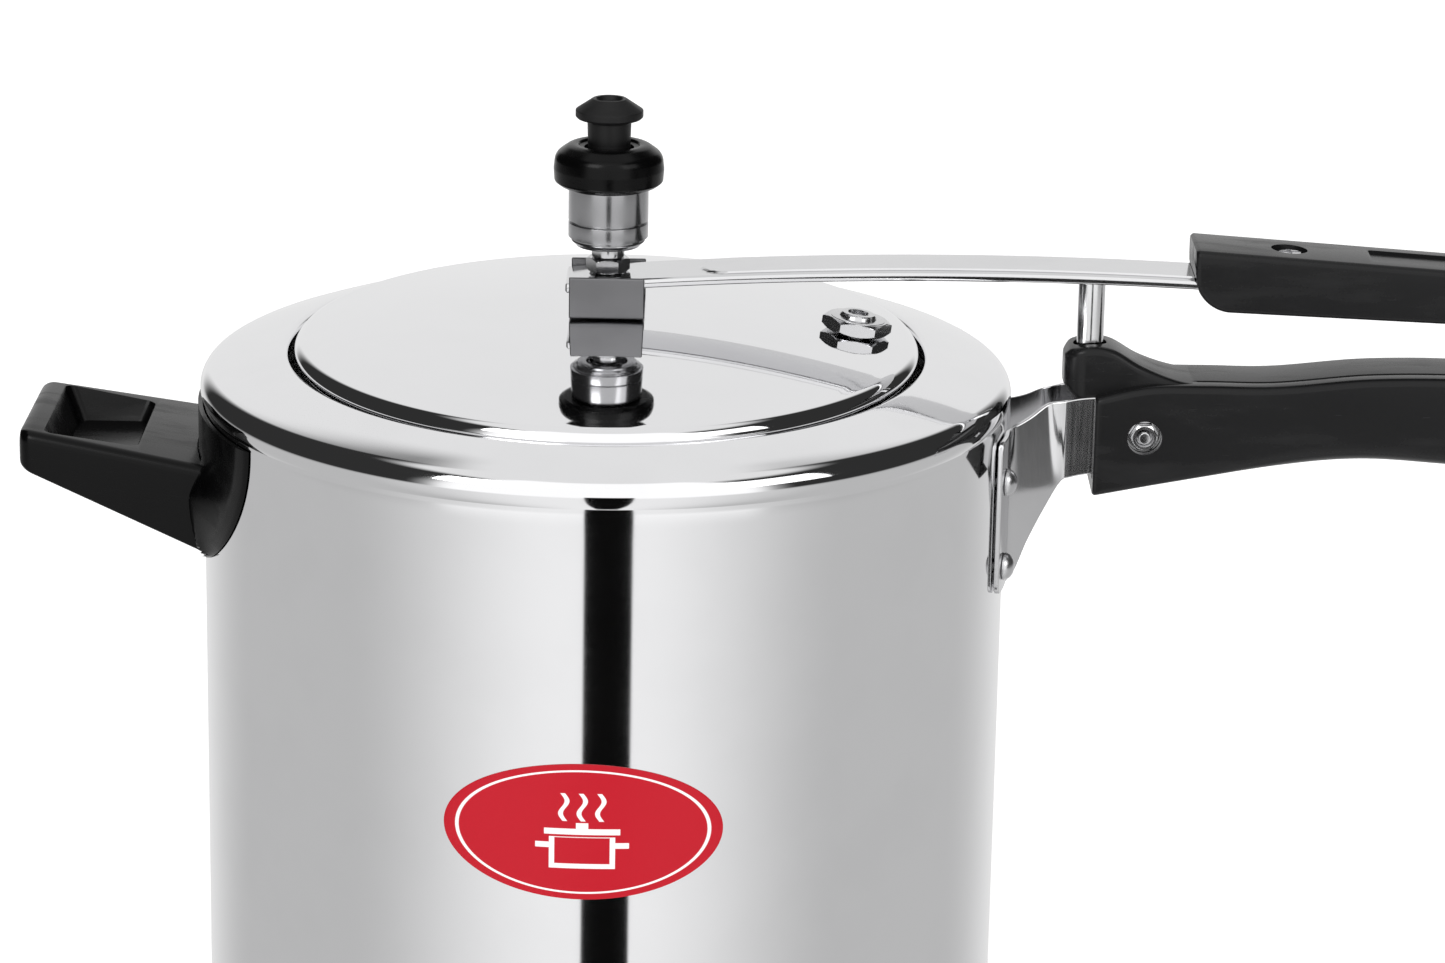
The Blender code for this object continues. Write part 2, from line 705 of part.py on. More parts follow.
def fulcrum_pin(parent, origin):
    """The upright pin under the bar, with a round foot centred on the rocking axis."""
    top = bar_top(PIN_X) - BAR_T - GAP - 0.1
    foot = arc(0, above(PIN_FOOT_Z), PIN_R, -90, 0, 5)
    profile = [(0, foot[0][1]), *foot[1:], (PIN_R, top), (0, top)]
    bm = moved(turned(profile, 20), Matrix.Translation((PIN_X, 0, 0)))
    return finish("fulcrum_pin", bm, STEEL, origin, parent)


def upper_top(x):
    """World height of the upper handle's top."""
    share = (x - UPPER_X0) / (UPPER_X1 - UPPER_X0)
    return above(UPPER_TOP_Z - UPPER_TOP_FALL * share)


def upper_handle(parent, origin):
    """The black grip on the bar's far end."""
    end_bottom = above(UPPER_BOTTOM_Z - UPPER_BOTTOM_FALL)
    outline = rounded([(UPPER_X0, upper_top(UPPER_X0), 1.5), (UPPER_X1, upper_top(UPPER_X1), UPPER_END_R),
                       (UPPER_X1, end_bottom, UPPER_END_R),
                       (UPPER_X0 + 1, above(UPPER_BOTTOM_Z), UPPER_CHIN_R)], 4)
    body = slab(outline, -UPPER_HALF_W, UPPER_HALF_W, UPPER_EDGE_R)
    made = finish("upper_handle", body, BLACK, origin, parent)
    channel = bar_shape(UPPER_X0 - 6, BAR_X1 + SLOT_CLEARANCE, 10, SLOT_CLEARANCE)
    cut(made, finish("bar_channel", channel, STEEL))
    place = Matrix.Translation((UPPER_SCREW_X, 0, 0))
    top = upper_top(UPPER_SCREW_X)
    cut(made, rod("screw_pocket", UPPER_SCREW_POCKET_R, top - UPPER_SCREW_POCKET_DEPTH, top + 9, 20,
                  place))
    low = above(UPPER_BOTTOM_Z + 2)
    cut(made, rod("screw_shaft", SCREW_R + HOLE_CLEARANCE, low, top + 8, 16, place))
    head = top - UPPER_SCREW_POCKET_DEPTH + GAP
    screw = screw_profile(head + SCREW_HEAD_H, head, low + GAP, 4.3)
    finish("upper_handle_screw", moved(turned(screw, 16), place), STEEL, origin, parent)
    return made


def screw_profile(top, seat, tip, head_r=SCREW_HEAD_R):
    """A screw along Z from its tip up to its rounded head."""
    return [(0, tip), (SCREW_R, tip), (SCREW_R, seat), (head_r, seat),
            (head_r, seat + (top - seat) * 0.4), (head_r * 0.7, seat + (top - seat) * 0.85), (0, top)]


# ---------------------------------------------------------------- lower handle and its pressings

def lower_outline():
    """Side view of the lower handle: a waist behind the boss, then the long grip."""
    top = smooth([(LOWER_X0, below(8.6)), (LOWER_X0 + 15.5, below(5.0)), (LOWER_X0 + 32.5, below(4.4)),
                  (LOWER_X0 + 50.5, below(4.4)), (LOWER_X1 - 94, below(1.4)), (LOWER_X1 - 70, below(1.0)),
                  (LOWER_X1 - 38, below(3.4)),
                  (LOWER_X1 - 7, below(8.4))], 3)
    nose = arc(LOWER_X1 - 10, below(18.4), 10, 68, -68, 6)
    bottom = smooth([(LOWER_X1 - 10, below(29.8)), (LOWER_X1 - 38, below(30.6)), (LOWER_X1 - 71, below(28.4)),
                     (LOWER_X1 - 96, below(27.2)), (LOWER_X0 + 55.5, below(29.4)),
                     (LOWER_X0 + 30.5, below(33.2)),
                     (LOWER_X0 + 0.5, below(39.2))], 3)
    return top + nose + bottom


def rib_outline():
    """Side view of the narrow rib with the pin's boss at its inner end."""
    boss_top = above(PIN_FOOT_Z + 2.8)
    left = PIN_X - 8.0
    slope = smooth([(PIN_X + 6, boss_top), (PIN_X + 14.5, above(0.2)), (PIN_X + 25.5, below(3.4)),
                    (PIN_X + 42, below(4.6)), (PIN_X + 52, below(6.5))], 3)
    return [(left + 0.5, below(8)), (left, below(2)), (left + 1.6, boss_top - 1), (left + 3, boss_top),
            *slope, (PIN_X + 52, below(16)), (LOWER_X0 + 2, below(16)), (LOWER_X0 + 0.5, below(11))]


def cut_fastener_ways(made, label):
    """Slots for the pressings' tongues and the ways of the bolt, screw and loop through a half."""
    for side in (-1, 1):
        inner = PRESS_TONGUE_Y - PRESS_T / 2 - 2 * GAP
        outer = PRESS_TONGUE_Y + PRESS_T / 2 + 2 * GAP
        y0, y1 = sorted((side * inner, side * outer))
        cut(made, block(f"{label}_slot_{side}", LOWER_X0 - 5, PRESS_TONGUE_X1 + 2, y0, y1,
                        below(PRESS_BOTTOM_DROP + 0.4), below(PRESS_TOP_DROP - 0.4)))
    reach = LOWER_HALF_W + 3
    shaft = BOLT_R + HOLE_CLEARANCE
    cut(made, rod(label + "_bolt_way", shaft, -reach, reach, 16, along_y(BOLT_X, below(BOLT_DROP))))
    cut(made, rod(label + "_screw_way", shaft, -reach, LOWER_HALF_W - 4, 16,
                  along_y(LOWER_SCREW_X, below(LOWER_SCREW_DROP))))
    for side in (-1, 1):
        y0, y1 = sorted((side * (LOWER_HALF_W - LOOP_PIVOT_IN - 0.6), side * reach))
        cut(made, rod(f"{label}_loop_way_{side}", WIRE_R + 0.4, y0, y1, 16,
                      along_y(LOOP_X, below(LOOP_DROP))))


def body_handle_cheek():
    """The front half, with pockets for the nut and the screw's head."""
    bm = slab(lower_outline(), -LOWER_HALF_W, SPLIT_Y - GAP / 2, LOWER_EDGE_R, (True, False))
    made = finish("body_handle_cheek", bm, BLACK)
    cut_fastener_ways(made, "cheek")
    tongue_face = PRESS_TONGUE_Y + PRESS_T / 2
    for label, x, drop, depth in (("nut_pocket", BOLT_X, BOLT_DROP, tongue_face),
                                  ("screw_pocket_low", LOWER_SCREW_X, LOWER_SCREW_DROP,
                                   LOWER_HALF_W - 3)):
        cut(made, rod(label, NUT_POCKET_R, -LOWER_HALF_W - 3, -depth, 20, along_y(x, below(drop))))
    return made


def body_handle_core():
    """The rear half with the rib, its boss and the socket for the pin's foot."""
    bm = slab(lower_outline(), SPLIT_Y + GAP / 2, LOWER_HALF_W, LOWER_EDGE_R, (False, True))
    made = finish("body_handle_core", bm, BLACK)
    rib = slab(rib_outline(), SPLIT_Y + GAP / 2 + 0.25, RIB_HALF_W, 1.6)
    combine(made, finish("rib", rib, BLACK), "UNION")
    socket = rod("foot_socket", PIN_R + SOCKET_CLEARANCE, above(PIN_FOOT_Z) - PIN_R - GAP,
                 above(PIN_FOOT_Z) + 20, 20, Matrix.Translation((PIN_X, 0, 0)))
    cut(made, socket)
    cut_fastener_ways(made, "core")
    cut(made, rod("head_pocket", NUT_POCKET_R, PRESS_TONGUE_Y + PRESS_T / 2, LOWER_HALF_W + 3, 20,
                  along_y(BOLT_X, below(BOLT_DROP))))
    return made


def pressing_stations():
    """Plan view and edges of a pressing: (x, y, bottom drop, top drop) along its sheet's middle."""
    sheet_r = POT_R + GAP + PRESS_T / 2 + 0.1
    found = []
    for i in range(4):
        y = PRESS_EDGE_Y + (PRESS_ROOT_Y - PRESS_EDGE_Y) * i / 3
        found.append((math.sqrt(sheet_r ** 2 - y ** 2), y, PRESS_FLANGE_BOTTOM, PRESS_FLANGE_TOP))
    root_x = found[-1][0]
    span = PRESS_TONGUE_X0 - root_x
    fall = PRESS_ROOT_Y - PRESS_TONGUE_Y
    found += [(root_x + 1.6, PRESS_ROOT_Y - 1.2, PRESS_FLANGE_BOTTOM - 1.5, PRESS_FLANGE_TOP - 0.5),
              (root_x + 0.85 * span, PRESS_TONGUE_Y + 0.12 * fall, 41.0, PRESS_TOP_DROP + 0.8),
              (root_x + 0.95 * span, PRESS_TONGUE_Y + 0.03 * fall, 36.0, PRESS_TOP_DROP + 0.1),
              (PRESS_TONGUE_X0, PRESS_TONGUE_Y, PRESS_BOTTOM_DROP, PRESS_TOP_DROP),
              (PRESS_TONGUE_X1, PRESS_TONGUE_Y, PRESS_BOTTOM_DROP, PRESS_TOP_DROP)]
    return found


def pressing(name, side):
    """One folded sheet: flange on the pot, leg towards the handle and a tongue inside it."""
    stations = pressing_stations()
    rings = []
    for i, (x, y, bottom, top) in enumerate(stations):
        x0, y0 = stations[max(i - 1, 0)][:2]
        x1, y1 = stations[min(i + 1, len(stations) - 1)][:2]
        across = Vector((y0 - y1, x1 - x0)).normalized() * (PRESS_T / 2)
        rings.append([(x + s * across.x, side * (y + s * across.y), z)
                      for s, z in ((-1, below(bottom)), (1, below(bottom)), (1, below(top)),
                                   (-1, below(top)))])
    made = finish(name, lofted(rings), STEEL)
    for k, drop in enumerate(PRESS_RIVET_DROPS):
        cut(made, rod(f"{name}_rivet_way_{k}", RIVET_R + HOLE_CLEARANCE, POT_R - 9, POT_R + 9, 12,
                      rivet_place(side * PRESS_RIVET_Y, drop)))
    cut(made, rod(name + "_bolt_way", BOLT_R + HOLE_CLEARANCE, -20, 20, 16,
                  along_y(BOLT_X, below(BOLT_DROP))))
    return made


def rivet_place(y, drop, side=1):
    """Turns the Z axis to point out of the pot at one place of its wall."""
    angle = math.asin(y / POT_R)
    turn = Euler((0, side * math.pi / 2, 0)).to_matrix().to_4x4()
    return Matrix.Translation((0, 0, below(drop))) @ Matrix.Rotation(side * angle, 4, "Z") @ turn


def rivet(name, y, drop, side, seat_r, head_r, head_h):
    """A domed rivet through the wall, with a low tail inside."""
    base = seat_r + GAP
    tail = POT_R - WALL - GAP - 0.15
    profile = [(0, tail - RIVET_TAIL_H), (RIVET_TAIL_R - 1, tail - RIVET_TAIL_H),
               (RIVET_TAIL_R, tail), (RIVET_R, tail), (RIVET_R, base), (head_r, base)]
    profile += [(head_r * math.cos(a), base + head_h * math.sin(a)) for a in (0.4, 0.8, 1.2)]
    profile += [(0, base + head_h)]
    return finish(name, moved(turned(profile, 14), rivet_place(y, drop, side)), STEEL)


def lower_fasteners():
    """The bolt and nut through the tongues, and the screw at the far end."""
    place = along_y(BOLT_X, below(BOLT_DROP))
    face = PRESS_TONGUE_Y + PRESS_T / 2 + GAP
    bolt = [(0, -LOWER_HALF_W - 0.2), (BOLT_R - 0.4, -LOWER_HALF_W - 0.2), (BOLT_R, -LOWER_HALF_W + 0.3),
            (BOLT_R, face), (SCREW_HEAD_R, face), (SCREW_HEAD_R, face + 1.6), (2.2, face + 2.6),
            (0, face + 2.7)]
    finish("handle_bolt", moved(turned(bolt, 16), place), STEEL)
    nut("handle_nut", NUT_AF, -LOWER_HALF_W + 0.3, -face, BOLT_R + HOLE_CLEARANCE, place)
    head = -LOWER_HALF_W + 3 - GAP
    flip = along_y(LOWER_SCREW_X, below(LOWER_SCREW_DROP)) @ Matrix.Rotation(math.pi, 4, "X")
    screw = screw_profile(-head + SCREW_HEAD_H, -head, -LOWER_HALF_W + 4 + GAP)
    finish("body_handle_screw", moved(turned(screw, 16), flip), STEEL)


def locking_loop(origin):
    """The wire loop, hanging from two pivots in the lower handle: two legs and a cross-bar."""
    side_y = LOWER_HALF_W + 0.6 + WIRE_R
    inner_y = LOWER_HALF_W - LOOP_PIVOT_IN
    locked_z = upper_top(LOOP_X - LOOP_LEAN) + 2 * GAP + WIRE_R
    length = math.hypot(LOOP_LEAN, locked_z - below(LOOP_DROP))
    corners = [(-inner_y, 0, 0), (-side_y, 0, 1.9), (-side_y, -length, LOOP_BEND_R),
               (side_y, -length, LOOP_BEND_R), (side_y, 0, 1.9), (inner_y, 0, 0)]
    path = rounded(corners, 4)
    curve = bpy.data.curves.new("locking_loop", "CURVE")
    curve.dimensions = "3D"
    curve.bevel_depth = WIRE_R * MM
    curve.bevel_resolution = 2
    curve.use_fill_caps = True
    spline = curve.splines.new("POLY")
    spline.points.add(len(path) - 1)
    for point, (y, z) in zip(spline.points, path):
        point.co = (0, y * MM, z * MM, 1)
    curve.materials.append(STEEL)
    made = bpy.data.objects.new("locking_loop", curve)
    made.location = Vector(origin) * MM
    bpy.context.scene.collection.objects.link(made)
    return made


# ---------------------------------------------------------------- helper handle

def helper_at(x, tip, root):
    """A value that runs straight from the helper handle's tip to its root."""
    return tip + (root - tip) * (x - HELPER_X1) / (HELPER_ROOT_X - HELPER_X1)


def helper_section(x, shrink=0.0):
    """The helper handle's rounded cross-section at one place."""
    w = helper_at(x, HELPER_TIP_HALF_W, HELPER_ROOT_HALF_W) - shrink
    top = below(helper_at(x, HELPER_TIP_TOP, HELPER_ROOT_TOP) + shrink)
    bottom = below(helper_at(x, HELPER_TIP_BOTTOM, HELPER_ROOT_BOTTOM) - shrink)
    r = HELPER_EDGE_R
    outline = rounded([(-w, bottom, 1.2), (-w, top, r), (w, top, r), (w, bottom, 1.2)], 3)
    return [(x, y, z) for y, z in outline]


def helper_handle():
    """The wedge-shaped grip, hollowed to fit the pot, with a finger window and a bracket pocket."""
    stations = [(HELPER_X1, 2.2), (HELPER_X1 + 0.8, 0.8), (HELPER_X1 + 2.5, 0.0)]
    stations += [(x, 0.0) for x in (-(POT_R + 30), -(POT_R + 10), -(POT_R - 15))]
    made = finish("helper_handle", lofted([helper_section(x, s) for x, s in stations]), BLACK)
    seat_r = POT_R + 2 * GAP + COLLAR_T + 0.1
    cut(made, rod("helper_seat", seat_r, below(80), below(0), POT_SEGMENTS * 2))
    w = WINDOW_HALF_W
    cut(made, block("finger_window", WINDOW_X0, WINDOW_X1, -w, w, below(80), below(0)))
    cut(made, block("bracket_pocket", POCKET_X1, -(POT_R - 20), -POCKET_HALF_W, POCKET_HALF_W,
                    below(POCKET_BOTTOM), below(POCKET_TOP)))
    place = Matrix.Translation((HELPER_SCREW_X, 0, 0))
    cut(made, rod("helper_screw_way", SCREW_R + HOLE_CLEARANCE, below(60),
                  below(POCKET_BOTTOM - 1), 16, place))
    cut(made, rod("helper_screw_pocket", SCREW_HEAD_R + 0.5, below(60),
                  below(helper_screw_seat()), 16, place))
    return made


def helper_screw_seat():
    """How far below the mouth the helper screw's head sits."""
    return helper_at(HELPER_SCREW_X, HELPER_TIP_BOTTOM, HELPER_ROOT_BOTTOM) - SCREW_HEAD_H - 1


def helper_collar():
    """The thin collar between grip and pot: half an oval wrapped round the wall."""
    rows, columns = 8, 14
    inner_r = POT_R + GAP
    top = CREASE_DROP + GAP
    grid = []
    for radius in (inner_r, inner_r + COLLAR_T):
        face = []
        for i in range(rows + 1):
            share = math.sin(math.pi / 2 * i / rows) * 0.985
            half = math.radians(COLLAR_HALF_ANGLE) * math.sqrt(1 - share ** 2)
            z = below(top + COLLAR_H * share)
            face.append([(-radius * math.cos(half * (2 * k / columns - 1)),
                          radius * math.sin(half * (2 * k / columns - 1)), z)
                         for k in range(columns + 1)])
        grid.append(face)
    inner, outer = grid
    rings = []
    for i in range(rows + 1):
        rings.append(inner[i] + outer[i][::-1])
    made = finish("helper_collar", lofted(rings), BLACK)
    cut(made, block("collar_window", -(POT_R + 20), -(POT_R - 20), -POCKET_HALF_W, POCKET_HALF_W,
                    below(POCKET_BOTTOM), below(POCKET_TOP)))
    return made


def helper_bracket():
    """A steel plate on the wall with a tongue into the grip's pocket."""
    inner_r = POT_R + GAP
    outer_r = inner_r + HELPER_SHEET_T
    columns = 8
    rings = []
    for drop in (HELPER_PLATE_TOP, HELPER_TONGUE_DROP + HELPER_SHEET_T):
        ring = []
        for radius, order in ((inner_r, 1), (outer_r, -1)):
            half = math.asin(HELPER_PLATE_HALF_W / radius)
            angles = [half * (2 * k / columns - 1) for k in range(columns + 1)][::order]
            ring += [(-radius * math.cos(a), radius * math.sin(a), below(drop)) for a in angles]
        rings.append(ring)
    made = finish("helper_bracket", lofted(rings), STEEL)
    tongue = block("helper_tongue", HELPER_TONGUE_X1, -inner_r - 0.4, -HELPER_TONGUE_HALF_W,
                   HELPER_TONGUE_HALF_W, below(HELPER_TONGUE_DROP + HELPER_SHEET_T - 0.01),
                   below(HELPER_TONGUE_DROP))
    combine(made, tongue, "UNION")
    cut(made, rod("tongue_hole", SCREW_R + HOLE_CLEARANCE, below(60), below(30), 16,
                  Matrix.Translation((HELPER_SCREW_X, 0, 0))))
    for side in (-1, 1):
        cut(made, rod(f"plate_hole_{side}", RIVET_R + HOLE_CLEARANCE, POT_R - 9, POT_R + 9, 12,
                      rivet_place(side * HELPER_RIVET_Y, HELPER_RIVET_DROP, -1)))
    return made


def helper_screw():
    """The screw from below that holds the grip to its bracket."""
    seat = helper_screw_seat()
    profile = [(0, below(HELPER_TONGUE_DROP - 2)), (SCREW_R, below(HELPER_TONGUE_DROP - 2)),
               (SCREW_R, below(seat + GAP)), (SCREW_HEAD_R, below(seat + GAP)),
               (SCREW_HEAD_R * 0.8, below(seat + GAP + SCREW_HEAD_H)),
               (0, below(seat + GAP + SCREW_HEAD_H))]
    place = Matrix.Translation((HELPER_SCREW_X, 0, 0))
    return finish("helper_screw", moved(turned(profile, 16), place), STEEL)


def front_label():
    """A thin oval sticker on the wall, skinned over upright strips from one end to the other."""
    count = 18
    inner_r = POT_R + GAP
    rings = []
    for i in range(count):
        across = -math.cos(math.pi * (i + 0.5) / count)
        turn = (LABEL_X + LABEL_HALF_W * across) / POT_R
        half = LABEL_HALF_H * math.sqrt(1 - across ** 2)
        rings.append([(r * math.sin(turn), -r * math.cos(turn), below(LABEL_DROP) + z)
                      for r, z in ((inner_r, -half), (inner_r, half), (inner_r + LABEL_T, half),
                                   (inner_r + LABEL_T, -half))])
    return finish("front_label", lofted(rings), RED)


# ---------------------------------------------------------------- assembly

def build():
    """Makes every piece, the moving ones under empties on their joints' axes."""
    pot = vessel()
    body_handle_core()
    body_handle_cheek()
    lower_fasteners()
    seat = POT_R + GAP + PRESS_T + 0.1
    for label, side in (("front", -1), ("rear", 1)):
        pressing("bracket_" + label, side)
        for place, drop in zip(("upper", "lower"), PRESS_RIVET_DROPS):
            rivet(f"bracket_rivet_{label}_{place}", side * PRESS_RIVET_Y, drop, 1, seat,
                  RIVET_HEAD_R, RIVET_HEAD_H)
            cut(pot, rod(f"pot_way_{label}_{place}", RIVET_R + HOLE_CLEARANCE, POT_R - 9, POT_R + 9,
                         12, rivet_place(side * PRESS_RIVET_Y, drop)))
        rivet(f"helper_rivet_{label}", side * HELPER_RIVET_Y, HELPER_RIVET_DROP, -1,
              POT_R + GAP + HELPER_SHEET_T, HELPER_RIVET_HEAD_R, HELPER_RIVET_HEAD_H)
        cut(pot, rod(f"pot_helper_way_{label}", RIVET_R + HOLE_CLEARANCE, POT_R - 9, POT_R + 9, 12,
                     rivet_place(side * HELPER_RIVET_Y, HELPER_RIVET_DROP, -1)))
    helper_handle()
    helper_collar()
    helper_bracket()
    helper_screw()
    front_label()
    rock = (PIN_X, 0, above(PIN_FOOT_Z))
    rocker = pivot("bar_rock_axis", rock)
    handle_bar(rocker, rock)
    fulcrum_pin(rocker, rock)
    upper_handle(rocker, rock)
    hang = pivot("lid_level_axis", (VENT_NUT_AF / math.sqrt(3), 0, bar_top(0)), rocker)
    lid(hang)
    gasket(hang)
    lid_bracket(hang)
    vent_tube(hang)
    vent_nuts(hang)
    safety_valve(hang)
    lifter = pivot("weight_axis", (0, 0, above(WEIGHT_Z0)), hang)
    vent_weight_body(lifter)
    vent_weight_clip(lifter)
    vent_weight_cap(lifter)
    vent_weight_knob(lifter)
    locking_loop((LOOP_X, 0, below(LOOP_DROP)))


build()
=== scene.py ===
"""Finished look of a stovetop pressure cooker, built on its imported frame.

Sizes are in millimetres and become metres when a mesh is made. The frame's +X runs along the long
handles, +Z is up and the base stands on z = 0. Heights in the classes count from the plane of the
pot's mouth.
"""
import functools
import logging
import math
from dataclasses import dataclass
from enum import Enum
from typing import Optional, Sequence, Union

import bmesh
import bpy
import numpy as np
from mathutils import Matrix, Vector


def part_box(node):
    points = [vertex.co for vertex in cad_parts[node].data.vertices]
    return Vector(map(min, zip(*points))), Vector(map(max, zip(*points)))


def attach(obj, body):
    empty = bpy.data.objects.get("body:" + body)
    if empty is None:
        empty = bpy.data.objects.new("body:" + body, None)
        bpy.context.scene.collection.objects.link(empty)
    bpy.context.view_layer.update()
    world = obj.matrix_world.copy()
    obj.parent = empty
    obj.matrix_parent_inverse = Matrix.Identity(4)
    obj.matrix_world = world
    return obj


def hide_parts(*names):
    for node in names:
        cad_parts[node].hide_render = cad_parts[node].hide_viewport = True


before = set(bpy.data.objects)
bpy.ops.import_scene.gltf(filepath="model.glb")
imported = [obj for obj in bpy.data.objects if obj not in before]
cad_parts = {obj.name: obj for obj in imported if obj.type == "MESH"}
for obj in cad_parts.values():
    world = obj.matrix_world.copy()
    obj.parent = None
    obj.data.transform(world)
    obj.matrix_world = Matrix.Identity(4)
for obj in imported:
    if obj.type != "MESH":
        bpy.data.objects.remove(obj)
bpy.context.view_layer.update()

log = logging.getLogger("cooker")

MM = 0.001
LIP_RISE = 1.2  # from the mouth's plane up to the top of its lip
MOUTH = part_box("vessel")[1].z / MM - LIP_RISE
WALL_R = 120.0  # outer radius of the wall
RIVET_SEAT = WALL_R + 1.95  # where a rivet's head sits, from the pot's axis
MERGE = 2e-6  # points closer than this are one, in metres
SLIVER = 1e-7  # edges shorter than this are dissolved, in metres
Array = np.ndarray
Colour = tuple[float, float, float]


# ---------------------------------------------------------------- shader graphs

class Wire:
    """A shader socket that can stand in arithmetic; each operator adds one Math node."""

    def __init__(self, graph: "Graph", socket: bpy.types.NodeSocket) -> None:
        """Wraps a socket.

        Args:
            graph: the graph that the socket's node is in.
            socket: the output socket.
        """
        self.graph = graph
        self.socket = socket

    def _math(self, operation: str, *values: Union["Wire", float]) -> "Wire":
        """Adds a Math node.

        Args:
            operation: the node's operation.
            values: its inputs in order.

        Returns:
            The result's wire.
        """
        return self.graph.node("ShaderNodeMath", {"operation": operation}, dict(enumerate(values)))

    def __add__(self, other: Union["Wire", float]) -> "Wire":
        """Sum."""
        return self._math("ADD", self, other)

    __radd__ = __add__

    def __sub__(self, other: Union["Wire", float]) -> "Wire":
        """Difference."""
        return self._math("SUBTRACT", self, other)

    def __rsub__(self, other: float) -> "Wire":
        """Difference, reflected."""
        return self._math("SUBTRACT", other, self)

    def __mul__(self, other: Union["Wire", float]) -> "Wire":
        """Product."""
        return self._math("MULTIPLY", self, other)

    __rmul__ = __mul__

    def __truediv__(self, other: Union["Wire", float]) -> "Wire":
        """Quotient."""
        return self._math("DIVIDE", self, other)

    def __pow__(self, other: Union["Wire", float]) -> "Wire":
        """Power."""
        return self._math("POWER", self, other)

    def __abs__(self) -> "Wire":
        """Absolute value."""
        return self._math("ABSOLUTE", self)

    def root(self) -> "Wire":
        """Square root."""
        return self._math("SQRT", self)

    def sine(self) -> "Wire":
        """Sine of an angle in radians."""
        return self._math("SINE", self)

    def most(self, other: Union["Wire", float]) -> "Wire":
        """The larger of two values."""
        return self._math("MAXIMUM", self, other)

    def step(self, low: float, high: float) -> "Wire":
        """Rises smoothly from 0 at `low` to 1 at `high`; a `low` above `high` makes it fall.

        Args:
            low: where it is 0.
            high: where it is 1.

        Returns:
            The step's wire.
        """
        rising = low < high
        made = self.graph.node("ShaderNodeMapRange", {"interpolation_type": "SMOOTHSTEP"},
                               {"Value": self, "From Min": min(low, high), "From Max": max(low, high)})
        return made if rising else 1.0 - made

    def within(self, centre: float, half: float, soft: float) -> "Wire":
        """1 inside a band and 0 outside it.

        Args:
            centre: the band's middle.
            half: half its width.
            soft: how wide each of its edges is.

        Returns:
            The band's wire.
        """
        return abs(self - centre).step(half + soft / 2, half - soft / 2)


Value = Union[Wire, float, Sequence[float]]


class Graph:
    """The node tree of one material or of the world."""

    def __init__(self, owner: Union[bpy.types.Material, bpy.types.World]) -> None:
        """Starts an empty tree.

        Args:
            owner: the data-block whose tree this is.
        """
        owner.use_nodes = True
        self.tree = owner.node_tree
        self.tree.nodes.clear()

    def node(self, kind: str, settings: Optional[dict[str, object]] = None,
             inputs: Optional[dict[Union[str, int], Value]] = None,
             out: Union[str, int] = 0) -> Wire:
        """Adds a node.

        Args:
            kind: the node's type.
            settings: its properties, set before its inputs.
            inputs: values or wires for its input sockets, by name or number.
            out: the output socket that is returned.

        Returns:
            That output's wire.
        """
        made = self.tree.nodes.new(kind)
        for key, value in (settings or {}).items():
            setattr(made, key, value)
        for key, value in (inputs or {}).items():
            if isinstance(value, Wire):
                self.tree.links.new(value.socket, made.inputs[key])
            else:
                made.inputs[key].default_value = value
        return Wire(self, made.outputs[out])

    def mix(self, share: Value, first: Value, second: Value) -> Wire:
        """Blends two colours.

        Args:
            share: how much of the second.
            first: colour at 0.
            second: colour at 1.

        Returns:
            The colour's wire.
        """
        pair = [(*c, 1.0) if isinstance(c, tuple) and len(c) == 3 else c for c in (first, second)]
        return self.node("ShaderNodeMix", {"data_type": "RGBA"}, {0: share, 6: pair[0], 7: pair[1]}, 2)

    def place(self, scale: Sequence[float] = (1, 1, 1)) -> Wire:
        """Object coordinates in millimetres.

        Args:
            scale: what each of them is multiplied by.

        Returns:
            The vector's wire.
        """
        coordinates = self.node("ShaderNodeTexCoord", out="Object")
        return self.node("ShaderNodeMapping", inputs={"Vector": coordinates,
                                                      "Scale": [part / MM for part in scale]})

    def split(self, vector: Wire) -> tuple[Wire, Wire, Wire]:
        """The three parts of a vector."""
        first = self.node("ShaderNodeSeparateXYZ", inputs={0: vector})
        outputs = first.socket.node.outputs
        return first, Wire(self, outputs[1]), Wire(self, outputs[2])

    def join(self, x: Value, y: Value, z: Value) -> Wire:
        """A vector of three values."""
        return self.node("ShaderNodeCombineXYZ", inputs={0: x, 1: y, 2: z})

    def noise(self, vector: Wire, scale: float, detail: float = 3.0, rough: float = 0.55) -> Wire:
        """A noise value, 0 to 1.

        Args:
            vector: where it is read.
            scale: its frequency.
            detail: its octaves.
            rough: how strong the finer octaves are.

        Returns:
            The value's wire.
        """
        return self.node("ShaderNodeTexNoise", inputs={"Vector": vector, "Scale": scale,
                                                       "Detail": detail, "Roughness": rough})

    def bump(self, height: Wire, strength: float, distance: float) -> Wire:
        """A normal from a height.

        Args:
            height: the height's wire.
            strength: the node's strength.
            distance: the height of 1, in metres.

        Returns:
            The normal's wire.
        """
        return self.node("ShaderNodeBump", inputs={"Height": height, "Strength": strength,
                                                   "Distance": distance})

    def surface(self, **inputs: Value) -> None:
        """Ends the tree in a Principled shader; `Base_Color` names the socket Base Color."""
        named = {key.replace("_", " "): value for key, value in inputs.items()}
        shader = self.node("ShaderNodeBsdfPrincipled", inputs=named)
        self.node_output("ShaderNodeOutputMaterial", shader)

    def node_output(self, kind: str, shader: Wire) -> None:
        """Adds the tree's output node.

        Args:
            kind: the node's type.
            shader: what its surface shows.
        """
        made = self.tree.nodes.new(kind)
        self.tree.links.new(shader.socket, made.inputs["Surface"])


# ---------------------------------------------------------------- finishes

class Grain(Enum):
    """Which way the fine marks of a metal run."""

    RINGS = "round the Z axis"
    ALONG_X = "along X"
    ALONG_Z = "along Z"
    CAST = "in no direction"


